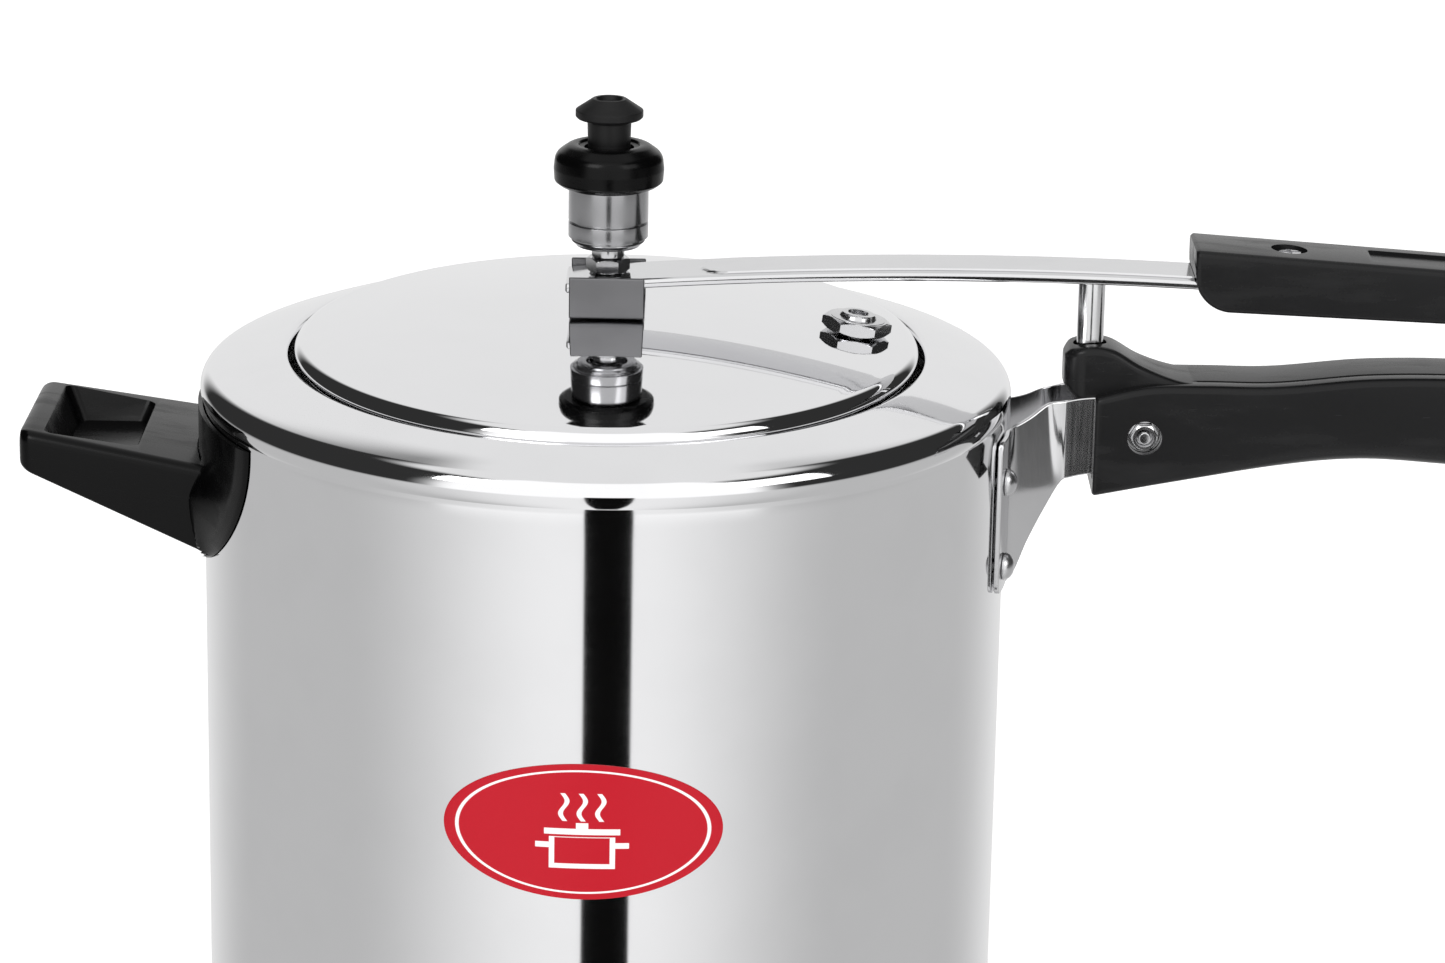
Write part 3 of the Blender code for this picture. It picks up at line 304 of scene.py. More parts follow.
@dataclass(frozen=True)
class Metal:
    """A bare or plated metal with fine directional marks.

    Attributes:
        colour: its reflectance.
        rough: roughness between marks.
        spread: how much the marks vary the roughness.
        pitch: marks per millimetre.
        depth: height of the marks, in micrometres.
        grain: which way they run.
        tarnish: how much cloudy patches darken it.
    """

    colour: Colour = (0.88, 0.88, 0.89)
    rough: float = 0.08
    spread: float = 0.06
    pitch: float = 2.0
    depth: float = 2.0
    grain: Grain = Grain.RINGS
    tarnish: float = 0.06

    def marks(self, graph: Graph) -> Wire:
        """Coordinates stretched along the marks.

        Args:
            graph: the material's graph.

        Returns:
            The vector's wire.
        """
        if self.grain is Grain.RINGS:
            x, y, z = graph.split(graph.place())
            reach = (x * x + y * y).root().most(0.01)
            return graph.join(x / reach * 1.2, y / reach * 1.2, (reach + z) * self.pitch)
        stretch = {Grain.ALONG_X: (0.03, 1.0, 1.0), Grain.ALONG_Z: (1.0, 1.0, 0.03),
                   Grain.CAST: (0.5, 0.5, 0.5)}[self.grain]
        return graph.place([part * self.pitch for part in stretch])

    def dress(self, name: str) -> bpy.types.Material:
        """Makes the material.

        Args:
            name: its name.

        Returns:
            The material.
        """
        made = bpy.data.materials.new(name)
        graph = Graph(made)
        lines = graph.noise(self.marks(graph), 1.0, 4.0, 0.7)
        cloud = graph.noise(graph.place(), 0.035, 3.0)
        specks = graph.noise(graph.place(), 1.6, 2.0).step(0.72, 0.8)
        rough = (lines - 0.5) * self.spread + (cloud - 0.5) * (self.spread * 0.5) + self.rough
        dark = tuple(c * (1 - self.tarnish * 2) for c in self.colour)
        colour = graph.mix(cloud.step(0.62, 0.3) * 0.5 + specks * 0.15, self.colour, dark)
        normal = graph.bump(lines, 1.0, self.depth * 1e-6)
        graph.surface(Base_Color=colour, Metallic=1.0, Roughness=rough.most(0.02), Normal=normal)
        return made


@dataclass(frozen=True)
class Moulded:
    """A moulded black plastic with fine surface texture and handling scuffs.

    Attributes:
        colour: its colour.
        rough: its roughness.
        texture: height of the mould texture, in micrometres.
        scuff: how strongly scuffs dull it.
        shine: level of its specular reflection.
    """

    colour: Colour = (0.0035, 0.0035, 0.0038)
    rough: float = 0.22
    texture: float = 6.0
    scuff: float = 0.12
    shine: float = 0.2

    def dress(self, name: str) -> bpy.types.Material:
        """Makes the material.

        Args:
            name: its name.

        Returns:
            The material.
        """
        made = bpy.data.materials.new(name)
        graph = Graph(made)
        skin = graph.noise(graph.place(), 1.1, 4.0, 0.6)
        flow = graph.noise(graph.place(scale=(0.25, 1.0, 1.0)), 0.12, 3.0)
        scratch = graph.noise(graph.place(scale=(0.06, 1.0, 0.7)), 1.4, 2.0).step(0.66, 0.78)
        rough = self.rough + (skin - 0.5) * 0.1 + flow.step(0.45, 0.7) * self.scuff + scratch * 0.08
        pale = tuple(c * 1.8 + 0.002 for c in self.colour)
        colour = graph.mix(scratch * 0.35 + flow.step(0.5, 0.75) * 0.3, self.colour, pale)
        normal = graph.bump(skin, 0.8, self.texture * 1e-6)
        graph.surface(Base_Color=colour, Roughness=rough, Specular_IOR_Level=self.shine, Normal=normal)
        return made


@dataclass(frozen=True)
class Rubber:
    """Matte black rubber with moulding bloom."""

    colour: Colour = (0.022, 0.022, 0.023)
    rough: float = 0.62

    def dress(self, name: str) -> bpy.types.Material:
        """Makes the material called `name`."""
        made = bpy.data.materials.new(name)
        graph = Graph(made)
        grain = graph.noise(graph.place(), 2.2, 4.0)
        bloom = graph.noise(graph.place(), 0.2, 2.0).step(0.4, 0.7)
        colour = graph.mix(bloom * 0.4, self.colour, (0.05, 0.05, 0.052))
        graph.surface(Base_Color=colour, Roughness=self.rough + (grain - 0.5) * 0.2,
                      Normal=graph.bump(grain, 0.6, 1.2e-5))
        return made


@dataclass(frozen=True)
class PrintedFilm:
    """A red film with a plain white border and a steaming-pot pictogram of simple shapes.

    Attributes:
        red: the ground's colour.
        white: the print's colour.
        half_w: half the film's width, in millimetres.
        half_h: half its height.
    """

    red: Colour = (0.5, 0.002, 0.014)
    white: Colour = (0.9, 0.9, 0.9)
    half_w: float = 40.2
    half_h: float = 20.3

    def pictogram(self, u: Wire, v: Wire) -> Wire:
        """The pot's outline, lid knob, base line and three wisps, from the film's own coordinates.

        Args:
            u: millimetres to the right of the film's middle.
            v: millimetres above it.

        Returns:
            1 where the print is white.
        """
        edge = 0.25
        body = abs(u).step(9.2 + edge, 9.2) * abs(v + 6.2).step(4.6 + edge, 4.6)
        hollow = abs(u).step(7.7 + edge, 7.7) * abs(v + 5.6).step(3.8 + edge, 3.8)
        lid = abs(u).step(10.6 + edge, 10.6) * abs(v - 0.1).step(0.75 + edge, 0.75)
        knob = abs(u).step(1.6 + edge, 1.6) * abs(v - 1.7).step(0.9 + edge, 0.9)
        ears = abs(abs(u) - 11.2).step(1.9 + edge, 1.9) * abs(v + 4.0).step(0.7 + edge, 0.7)
        sway = (v * 0.85).sine() * 0.9
        band = abs(v - 7.4).step(4.0 + edge, 4.0)
        wisps = abs(abs(u - sway) - 5.2).step(0.55 + edge, 0.55).most(
            abs(u - sway).step(0.55 + edge, 0.55)) * band
        return (body * (1.0 - hollow)).most(lid).most(knob).most(ears).most(wisps)

    def dress(self, name: str) -> bpy.types.Material:
        """Makes the material called `name`, reading the piece's own UV map."""
        made = bpy.data.materials.new(name)
        graph = Graph(made)
        u, v, _ = graph.split(graph.node("ShaderNodeTexCoord", out="UV"))
        across = (u - 0.5) * (2 * self.half_w)
        up = (v - 0.5) * (2 * self.half_h)
        reach = ((across / self.half_w) ** 2 + (up / self.half_h) ** 2).root()
        border = reach.within(0.9, 0.013, 0.008)
        print_mask = border.most(self.pictogram(across, up))
        grain = graph.noise(graph.place(), 1.5, 3.0)
        ground = graph.mix(grain * 0.35, self.red, tuple(c * 0.82 for c in self.red))
        colour = graph.mix(print_mask, ground, self.white)
        graph.surface(Base_Color=colour, Roughness=0.36 + (grain - 0.5) * 0.12,
                      Specular_IOR_Level=0.25, Normal=graph.bump(grain, 0.4, 8e-6))
        return made


class Finish(Enum):
    """Every finish of the cooker: its material's name and how it is made."""

    SPUN = ("spun_aluminium", Metal(rough=0.055, spread=0.05, pitch=2.4, depth=0.4, tarnish=0.02))
    MIRROR = ("buffed_aluminium", Metal(rough=0.035, spread=0.03, pitch=3.0, depth=0.25, tarnish=0.01))
    SHEET = ("pressed_sheet", Metal((0.72, 0.72, 0.73), 0.16, 0.1, 1.2, 1.0, Grain.ALONG_Z, 0.08))
    # The saddle's steel colour of 0.2 is painted shade: it stands in for the darker look of its bright
    # plated steel under the bar.
    SADDLE = ("rolled_steel_painted_shade", Metal((0.2, 0.2, 0.206), 0.34, 0.12, 1.6, 2.0, Grain.ALONG_X, 0.12))
    # The weight's colour of 0.42, below the turned steel's 0.62, is the steel's own tone plus a painted
    # reflection of the dark studio on its round body.
    WEIGHT = ("weight_steel_painted_reflection", Metal((0.42, 0.42, 0.43), 0.19, 0.12, 2.6, 1.8, Grain.RINGS, 0.08))
    STRIP = ("bar_steel", Metal((0.74, 0.74, 0.75), 0.12, 0.08, 1.8, 1.0, Grain.ALONG_X, 0.04))
    TURNED = ("turned_steel", Metal((0.62, 0.62, 0.63), 0.15, 0.1, 2.6, 1.6, Grain.RINGS, 0.06))
    PIN = ("pin_steel", Metal((0.8, 0.8, 0.81), 0.16, 0.08, 2.0, 1.2, Grain.ALONG_Z, 0.06))
    PLATED = ("plated_hardware", Metal((0.66, 0.66, 0.67), 0.15, 0.1, 0.9, 3.0, Grain.CAST, 0.08))
    RIVET = ("worked_rivet", Metal((0.72, 0.72, 0.73), 0.3, 0.15, 0.9, 9.0, Grain.CAST, 0.12))
    ALLOY = ("fusible_alloy", Metal((0.5, 0.5, 0.52), 0.42, 0.15, 0.9, 12.0, Grain.CAST, 0.2))
    # Lit and shaded copies of one black phenolic. The handles' raised base colour of 0.011 is painted
    # light. The darker base of 0.0015 on the helper handle and its collar is painted shade, and on the
    # weight's cap it is partly that cap's own deep black.
    PHENOLIC = ("black_phenolic", Moulded((0.011, 0.011, 0.0114)))
    GLOSSY = ("glossy_phenolic_painted_shade", Moulded((0.0015, 0.0015, 0.0016), shine=0.16))
    MATTE = ("matte_phenolic", Moulded((0.006, 0.006, 0.0062), 0.42, 16.0, 0.2, 0.3))
    RUBBER = ("black_rubber", Rubber())
    FILM = ("printed_film", PrintedFilm())

    @functools.cached_property
    def material(self) -> bpy.types.Material:
        """The finish's material, made when it is first asked for."""
        name, recipe = self.value
        return recipe.dress(name)


# ---------------------------------------------------------------- surfaces

def fillet(corners: Sequence[tuple[float, float, float]], steps: int = 6, closed: bool = True) -> Array:
    """Rounds the corners of an outline with arcs that are tangent to both sides.

    Args:
        corners: x, y and radius of each corner.
        steps: parts in each arc.
        closed: whether the last corner joins the first.

    Returns:
        The outline's points, one row each.
    """
    found = []
    for i, (x, y, radius) in enumerate(corners):
        here = np.array((x, y))
        if radius <= 0 or (not closed and i in (0, len(corners) - 1)):
            found.append(here[None])
            continue
        sides = [np.array(corners[(i + d) % len(corners)][:2]) - here for d in (-1, 1)]
        unit = [s / np.linalg.norm(s) for s in sides]
        half = math.acos(float(np.clip(unit[0] @ unit[1], -1, 1))) / 2
        centre = here + (unit[0] + unit[1]) / np.linalg.norm(unit[0] + unit[1]) * radius / math.sin(half)
        spokes = [here + s * radius / math.tan(half) - centre for s in unit]
        sweep = math.pi - 2 * half
        share = np.linspace(0, 1, steps + 1)[:, None]
        arc = (np.sin((1 - share) * sweep) * spokes[0] + np.sin(share * sweep) * spokes[1])
        found.append(centre + arc / math.sin(sweep))
    return np.concatenate(found)


def dense(profile: Array, pitch: float) -> Array:
    """Adds points to a path so that no part is longer than `pitch`, keeping all of its own."""
    found = [profile[:1]]
    for a, b in zip(profile[:-1], profile[1:]):
        parts = max(1, math.ceil(float(np.linalg.norm(b - a)) / pitch))
        found.append(a + (b - a) * np.linspace(0, 1, parts + 1)[1:, None])
    return np.concatenate(found)


def smooth_curve(x: Array, knots_x: Sequence[float], knots_y: Sequence[float]) -> Array:
    """A smooth curve through knots: cubic pieces whose slopes are the mean of their neighbours'.

    Args:
        x: where it is read.
        knots_x: the knots' places, rising.
        knots_y: their values.

    Returns:
        The values at x.
    """
    kx, ky = np.array(knots_x, float), np.array(knots_y, float)
    slope = np.gradient(ky, kx)
    i = np.clip(np.searchsorted(kx, x) - 1, 0, len(kx) - 2)
    h = kx[i + 1] - kx[i]
    t = np.clip((x - kx[i]) / h, 0, 1)
    return ((2 * t ** 3 - 3 * t ** 2 + 1) * ky[i] + (t ** 3 - 2 * t ** 2 + t) * h * slope[i]
            + (3 * t ** 2 - 2 * t ** 3) * ky[i + 1] + (t ** 3 - t ** 2) * h * slope[i + 1])


def ease(x: Array, low: float, high: float) -> Array:
    """Rises smoothly from 0 at `low` to 1 at `high`."""
    t = np.clip((x - low) / (high - low), 0, 1)
    return t * t * (3 - 2 * t)


def full_turn(count: int) -> Array:
    """Angles round a circle in radians, without the one that closes it."""
    return np.linspace(0, 2 * np.pi, count, endpoint=False)


def quarter(count: int) -> Array:
    """Angles of a quarter turn in radians, both ends included."""
    return np.linspace(0, np.pi / 2, count)


def skin(name: str, grid: Array, wrap_u: bool = False,
         caps: tuple[bool, bool] = (False, False), sharp: float = 32.0,
         uv: Optional[Array] = None) -> bpy.types.Object:
    """Makes an object from a surface of two parameters.

    Args:
        name: the object's name.
        grid: points in millimetres, of shape (u, v, 3).
        wrap_u: whether the last row joins the first; the last column always does.
        caps: whether the first and last row are closed by a fan.
        sharp: angle over which an edge is drawn sharp, in degrees.
        uv: texture coordinates of shape (u, v, 2).

    Returns:
        The object, at the origin, with its faces pointing outwards.
    """
    rows, columns = grid.shape[:2]
    index = np.arange(rows * columns).reshape(rows, columns)
    below = np.roll(index, -1, 0) if wrap_u else index[1:]
    here = index if wrap_u else index[:-1]
    quads = np.stack([here, np.roll(here, -1, 1), np.roll(below, -1, 1), below], -1)
    points = grid.reshape(-1, 3)
    faces = quads.reshape(-1, 4).tolist()
    for wanted, row in zip(caps, (index[0], index[-1])):
        if wanted:
            hub = len(points)
            points = np.concatenate([points, points[row].mean(0, keepdims=True)])
            fan = np.stack([row, np.roll(row, -1), np.full(len(row), hub)], -1)
            faces += fan.tolist()
    mesh = bpy.data.meshes.new(name)
    mesh.from_pydata((points * MM).tolist(), [], faces)
    if uv is not None:
        layer = mesh.uv_layers.new(name="film")
        corner = np.empty(len(mesh.loops), np.int32)
        mesh.loops.foreach_get("vertex_index", corner)
        flat = np.concatenate([uv.reshape(-1, 2), np.full((len(points) - rows * columns, 2), 0.5)])
        layer.data.foreach_set("uv", flat[corner].astype(np.float32).ravel())
    made = bpy.data.objects.new(name, mesh)
    bpy.context.scene.collection.objects.link(made)
    settle(made, sharp)
    return made


def settle(piece: bpy.types.Object, sharp: float = 32.0) -> None:
    """Merges doubles, points the faces outwards and shades the piece smooth between sharp edges."""
    bm = bmesh.new()
    bm.from_mesh(piece.data)
    bmesh.ops.remove_doubles(bm, verts=bm.verts, dist=MERGE)
    bmesh.ops.dissolve_degenerate(bm, edges=bm.edges, dist=SLIVER)
    bmesh.ops.recalc_face_normals(bm, faces=bm.faces)
    bm.to_mesh(piece.data)
    bm.free()
    piece.data.shade_smooth()
    piece.data.set_sharp_from_angle(angle=math.radians(sharp))


def lathe(name: str, profile: Array, count: int = 96, ring: bool = False,
          place: Optional[Matrix] = None, sharp: float = 32.0) -> bpy.types.Object:
    """A surface of revolution: the point (r, z) at turn t goes to (r cos t, r sin t, z).

    Args:
        name: the object's name.
        profile: (r, z) points in millimetres; an end on the axis is a pole.
        count: steps round the axis.
        ring: whether the profile is a closed loop.
        place: matrix in millimetres that carries the piece to its place.
        sharp: angle over which an edge is drawn sharp.

    Returns:
        The object.
    """
    turn = full_turn(count)
    r, z = profile[:, :1], profile[:, 1:]
    grid = np.stack([r * np.cos(turn), r * np.sin(turn), np.broadcast_to(z, (len(r), count))], -1)
    return skin(name, carry(grid, place), wrap_u=ring, sharp=sharp)


def carry(grid: Array, place: Optional[Matrix]) -> Array:
    """Carries points by a matrix in millimetres."""
    if place is None:
        return grid
    m = np.array(place, float)
    return grid @ m[:3, :3].T + m[:3, 3]


def along_y(x: float, z: float) -> Matrix:
    """Turns the Z axis to +Y and carries it to a point of the XZ plane."""
    return Matrix.Translation((x, 0, z)) @ Matrix.Rotation(-math.pi / 2, 4, "X")


def tube(name: str, path: Array, radius: float, count: int = 20) -> bpy.types.Object:
    """A round wire: circles of one radius, square to the path's direction, with domed ends.

    Args:
        name: the object's name.
        path: the centre line's points in millimetres.
        radius: the wire's radius.
        count: points round it.

    Returns:
        The object.
    """
    run = np.gradient(path, axis=0)
    run /= np.linalg.norm(run, axis=1, keepdims=True)
    side = np.cross(run, (1.0, 0.0, 0.0))
    side /= np.linalg.norm(side, axis=1, keepdims=True)
    up = np.cross(side, run)
    turn = full_turn(count)
    ends = quarter(5)[:-1]
    scale = np.concatenate([np.sin(ends), np.ones(len(path)), np.sin(ends)[::-1]])
    shift = np.concatenate([-radius * np.cos(ends), np.zeros(len(path)), radius * np.cos(ends)[::-1]])
    rows = np.concatenate([np.zeros(len(ends), int), np.arange(len(path)),
                           np.full(len(ends), len(path) - 1)])
    circle = side[rows, None] * np.cos(turn)[:, None] + up[rows, None] * np.sin(turn)[:, None]
    grid = (path[rows] + run[rows] * shift[:, None])[:, None] + circle * radius * scale[:, None, None]
    return skin(name, grid, caps=(True, True))


def rounded_section(half_w: tuple[Array, Array], low: Array, high: Array, radii: Sequence[Array],
                    steps: int = 6) -> Array:
    """Box sections with rounded corners, all at once.

    Each corner's arc is the corner moved in by its radius, plus the radius along each direction
    between the two sides.

    Args:
        half_w: the left and right sides' places along Y, per station.
        low: the bottom's height, per station.
        high: the top's height, per station.
        radii: radius of the corners left-bottom, right-bottom, right-top and left-top, per station.
        steps: parts in each arc.

    Returns:
        (y, z) of shape (stations, points, 2).
    """
    left, right = half_w
    parts = []
    centres = ((left, low, 1, 1, 180), (right, low, -1, 1, 270), (right, high, -1, -1, 0),
               (left, high, 1, -1, 90))
    for (y, z, sy, sz, start), radius in zip(centres, radii):
        angle = np.radians(start + np.linspace(0, 90, steps + 1))[None]
        r = np.broadcast_to(np.asarray(radius, float), y.shape)[:, None]
        parts.append(np.stack([(y[:, None] + sy * r) + r * np.cos(angle),
                               (z[:, None] + sz * r) + r * np.sin(angle)], -1))
    return np.concatenate(parts, 1)


def sections(name: str, x: Array, ring: Array) -> bpy.types.Object:
    """Makes a closed piece from cross-sections.

    Args:
        name: its name.
        x: where each section stands.
        ring: each section's (y, z) points.

    Returns:
        The object.
    """
    grid = np.concatenate([np.broadcast_to(x[:, None, None], (*ring.shape[:2], 1)), ring], -1)
    return skin(name, grid, caps=(True, True), sharp=50.0)


def carve(piece: bpy.types.Object, *cutters: bpy.types.Object, operation: str = "DIFFERENCE") -> None:
    """Cuts pieces out of one, or joins them to it, and removes them.

    Args:
        piece: what stays.
        cutters: the other solids.
        operation: the Boolean's operation.
    """
    for cutter in cutters:
        modifier = piece.modifiers.new(cutter.name, "BOOLEAN")
        modifier.object = cutter
        modifier.operation = operation
        modifier.solver = "EXACT"
    bpy.context.view_layer.update()
    graph = bpy.context.evaluated_depsgraph_get()
    fresh = bpy.data.meshes.new_from_object(piece.evaluated_get(graph))
    piece.modifiers.clear()
    piece.data = fresh
    for cutter in cutters:
        bpy.data.objects.remove(cutter)
    settle(piece, 28.0)


def soften(piece: bpy.types.Object, width: float, segments: int = 2) -> None:
    """Rounds the piece's sharp edges by `width` millimetres."""
    modifier = piece.modifiers.new("edges", "BEVEL")
    modifier.width = width * MM
    modifier.segments = segments
    modifier.limit_method = "ANGLE"
    modifier.angle_limit = math.radians(40)
    modifier.use_clamp_overlap = True


def block(name: str, x: tuple[float, float], y: tuple[float, float], z: tuple[float, float],
          taper: float = 0.0, radius: float = 0.0) -> bpy.types.Object:
    """A cutter: a box whose upright edges are rounded and whose top is wider by `taper`.

    Args:
        name: its name.
        x: its ends along X.
        y: its ends along Y.
        z: its bottom and top.
        taper: how much further each side stands at the top.
        radius: the upright edges' radius.

    Returns:
        The cutter.
    """
    rows = []
    for height, grow in zip(z, (0.0, taper)):
        corners = [(x[0] - grow, y[0] - grow, radius), (x[1] + grow, y[0] - grow, radius),
                   (x[1] + grow, y[1] + grow, radius), (x[0] - grow, y[1] + grow, radius)]
        outline = fillet(corners, 6)
        rows.append(np.column_stack([outline, np.full(len(outline), height)]))
    return skin(name, np.array(rows), caps=(True, True))


def drill(name: str, radius: float, ends: tuple[float, float], place: Optional[Matrix] = None,
          count: int = 48) -> bpy.types.Object:
    """A cutter: a plain cylinder along the place's Z axis."""
    profile = np.array([(0, ends[0]), (radius, ends[0]), (radius, ends[1]), (0, ends[1])], float)
    return lathe(name, profile, count, place=place)


def hexagon(name: str, flats: float, ends: tuple[float, float], hole: float,
            place: Optional[Matrix] = None, chamfer: float = 0.6) -> bpy.types.Object:
    """A hexagon nut: a hexagon's distance in each direction, cut back by cones at its ends.

    The radius at turn t is half the flats over cos(t - nearest flat's middle), and no more than
    the corner radius less what the cone takes off at that height.

    Args:
        name: its name.
        flats: width across the flats.
        ends: its bottom and top.
        hole: radius of its hole.
        place: matrix that carries it to its place.
        chamfer: how far the cones reach in.

    Returns:
        The nut.
    """
    turn = full_turn(120)
    nearest = np.round((turn - np.pi / 6) / (np.pi / 3)) * (np.pi / 3) + np.pi / 6
    side = flats / 2 / np.cos(turn - nearest)
    corner = flats / math.sqrt(3)
    height = ends[1] - ends[0]
    levels = np.unique(np.concatenate([np.linspace(0, chamfer, 7),
                                       np.linspace(height - chamfer, height, 7)]))
    top_cut = np.clip(chamfer - (height - levels), 0, None)
    low_cut = np.clip(chamfer - levels, 0, None)
    cone = 1.7  # how far the cone reaches in for each step down
    limit = corner + 0.02 - cone * np.maximum(top_cut, low_cut)
    outer = np.minimum(side[None], limit[:, None])
    inner_r = np.array([hole + 0.5, hole, hole, hole + 0.5])
    inner_z = np.array([height, height - 0.5, 0.5, 0.0])
    r = np.concatenate([outer, np.broadcast_to(inner_r[:, None], (4, len(turn)))])
    z = np.broadcast_to(np.concatenate([levels, inner_z])[:, None], r.shape) + ends[0]
    grid = np.stack([r * np.cos(turn), r * np.sin(turn), z], -1)
    return skin(name, carry(grid, place), wrap_u=True, sharp=25.0)


# ---------------------------------------------------------------- assembly bookkeeping

class Body(Enum):
    """The frame's moving bodies."""

    POT = "pot"
    BAR = "bar"
    LID = "lid"
    CLIP = "weight_clip"
    WEIGHT = "weight"
    LOOP = "loop"


def fit(piece: bpy.types.Object, body: Body, finish: Finish,
        nodes: Sequence[str]) -> None:
    """Dresses a finished piece, makes it ride on its body and lets it stand for CAD nodes.

    Args:
        piece: the piece.
        body: the body that it moves with.
        finish: its finish.
        nodes: the CAD nodes that it stands for.
    """
    piece.data.materials.clear()
    piece.data.materials.append(finish.material)
    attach(piece, body.value)
    if nodes:
        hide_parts(*nodes)
    log.info("%s rides on %s with %d faces", piece.name, body.value, len(piece.data.polygons))


# ---------------------------------------------------------------- pot

@dataclass
class Pot:
    """The spun pot with an oval, inturned mouth.

    Attributes:
        outer: radius of the wall.
        wall: its thickness.
        base: the base's thickness.
        corner: radius of the outer base corner.
        crease: height of the line where wall meets shoulder.
        bulge_r: radius to the centre of the shoulder's rounding.
        bulge_z: height of that centre.
        bulge: radius of the rounding.
        mouth: the oval mouth's half-axes.
        lip: radius of the rolled lip.
        lip_z: height of its centre.
    """

    outer: float = WALL_R
    wall: float = 3.25
    base: float = 5.0
    corner: float = 12.0
    crease: float = -13.8
    bulge_r: float = 114.9
    bulge_z: float = -9.5
    bulge: float = 6.0
    mouth: tuple[float, float] = (94.5, 103.0)
    lip: float = 2.0
    lip_z: float = -0.8

    def mouth_radius(self, turn: Array) -> Array:
        """Distance from the axis to the mouth: ab over the root of (b cos t)^2 + (a sin t)^2."""
        a, b = self.mouth
        return a * b / np.hypot(b * np.cos(turn), a * np.sin(turn))

    def arc(self, r: Array, z: float, radius: float, start: float, end: float, steps: int) -> Array:
        """An arc in every direction at once.

        Args:
            r: its centre's radius in each direction.
            z: its centre's height above the base.
            radius: its radius.
            start: its first angle in degrees.
            end: its last angle.
            steps: its parts.

        Returns:
            (r, z) of shape (steps + 1, directions, 2).
        """
        angle = np.radians(np.linspace(start, end, steps + 1))[:, None]
        rr = r[None] + radius * np.cos(angle)
        return np.stack([rr, np.broadcast_to(z + radius * np.sin(angle), rr.shape)], -1)

    def shell(self) -> bpy.types.Object:
        """The pot's skin, from the base's middle outside to its middle inside.

        In each direction the profile runs over the base corner, up the wall to the crease, round
        the bulge, straight in to the lip, round it and back inside; the lip's centre follows the
        oval mouth, so the slope's length changes with the direction.

        Returns:
            The object.
        """
        turn = full_turn(288)
        one = np.ones_like(turn)

        def level(r: float, z: float) -> Array:
            """One ring of constant radius and height."""
            return np.stack([r * one, z * one], -1)[None]

        lip_r = self.mouth_radius(turn) + self.lip
        inner = self.outer - self.wall
        bend = self.corner - self.wall
        crease = MOUTH + self.crease
        centre = (self.bulge_r * one, MOUTH + self.bulge_z)
        shoulder_end = 68  # degrees at which the rounding runs into the slope
        rows = [level(r, 0.0) for r in (0.0, 30.0, 70.0, 100.0)]
        rows.append(self.arc((self.outer - self.corner) * one, self.corner, self.corner, -90, 0, 12))
        rows += [level(self.outer, z) for z in np.linspace(self.corner, crease - 0.5, 26)[1:]]
        rows.append(level(self.outer - 0.05, crease - 0.12))
        rows.append(self.arc(*centre, self.bulge, -32, shoulder_end, 20))
        end = rows[-1][-1]
        start = self.arc(lip_r, MOUTH + self.lip_z, self.lip, 78, 270, 18)
        share = np.linspace(0, 1, 9)[1:-1, None, None]
        crown = 4 * share * (1 - share) * np.array((0.0, 0.35))
        rows.append(end[None] + (start[0] - end)[None] * share + crown)
        rows.append(start)
        rows.append(self.arc(*centre, self.bulge - self.wall, shoulder_end, 0, 8))
        rows += [level(inner, z) for z in np.linspace(crease, self.base + bend, 20)]
        rows.append(self.arc((inner - bend) * one, self.base + bend, bend, 0, -90, 10))
        rows += [level(r, self.base) for r in (90.0, 60.0, 30.0, 0.0)]
        profile = np.concatenate(rows)
        r, z = profile[..., 0], profile[..., 1]
        grid = np.stack([r * np.cos(turn), r * np.sin(turn), z], -1)
        return skin("pot_shell", grid, sharp=24.0)

    def build(self) -> None:
        """Makes the pot."""
        fit(self.shell(), Body.POT, Finish.SPUN, ["vessel"])


@dataclass
class Sticker:
    """The oval film on the front of the wall.

    Attributes:
        centre: its middle along the wall and below the mouth.
        half: half its width and height.
        radius: the wall's radius under it.
        thick: its thickness.
    """

    centre: tuple[float, float] = (-2.5, -107.6)
    half: tuple[float, float] = (40.2, 20.3)
    radius: float = WALL_R + 0.04
    thick: float = 0.22

    def build(self) -> None:
        """Makes the film: rings of a shrinking oval wrapped on the wall, then back behind it.

        A point at share s and turn t lies s times the half-width and half-height from the
        middle; its distance along the wall over the radius is its turn round the pot.
        """
        turn = full_turn(160)
        share = np.concatenate([np.linspace(0, 0.995, 24), [1.0, 1.0], np.linspace(0.995, 0, 4)])
        lift = np.concatenate([np.full(24, self.thick), [self.thick - 0.06, 0.0], np.zeros(4)])
        across = share[:, None] * np.cos(turn) * self.half[0]
        up = share[:, None] * np.sin(turn) * self.half[1]
        r = (self.radius + lift)[:, None]
        angle = (across + self.centre[0]) / self.radius
        grid = np.stack([r * np.sin(angle), -r * np.cos(angle), MOUTH + self.centre[1] + up], -1)
        uv = np.stack([0.5 + across / (2 * self.half[0]), 0.5 + up / (2 * self.half[1])], -1)
        film = skin("front_film", grid, uv=uv, sharp=60.0)
        fit(film, Body.POT, Finish.FILM, ["front_label"])


# ---------------------------------------------------------------- lid

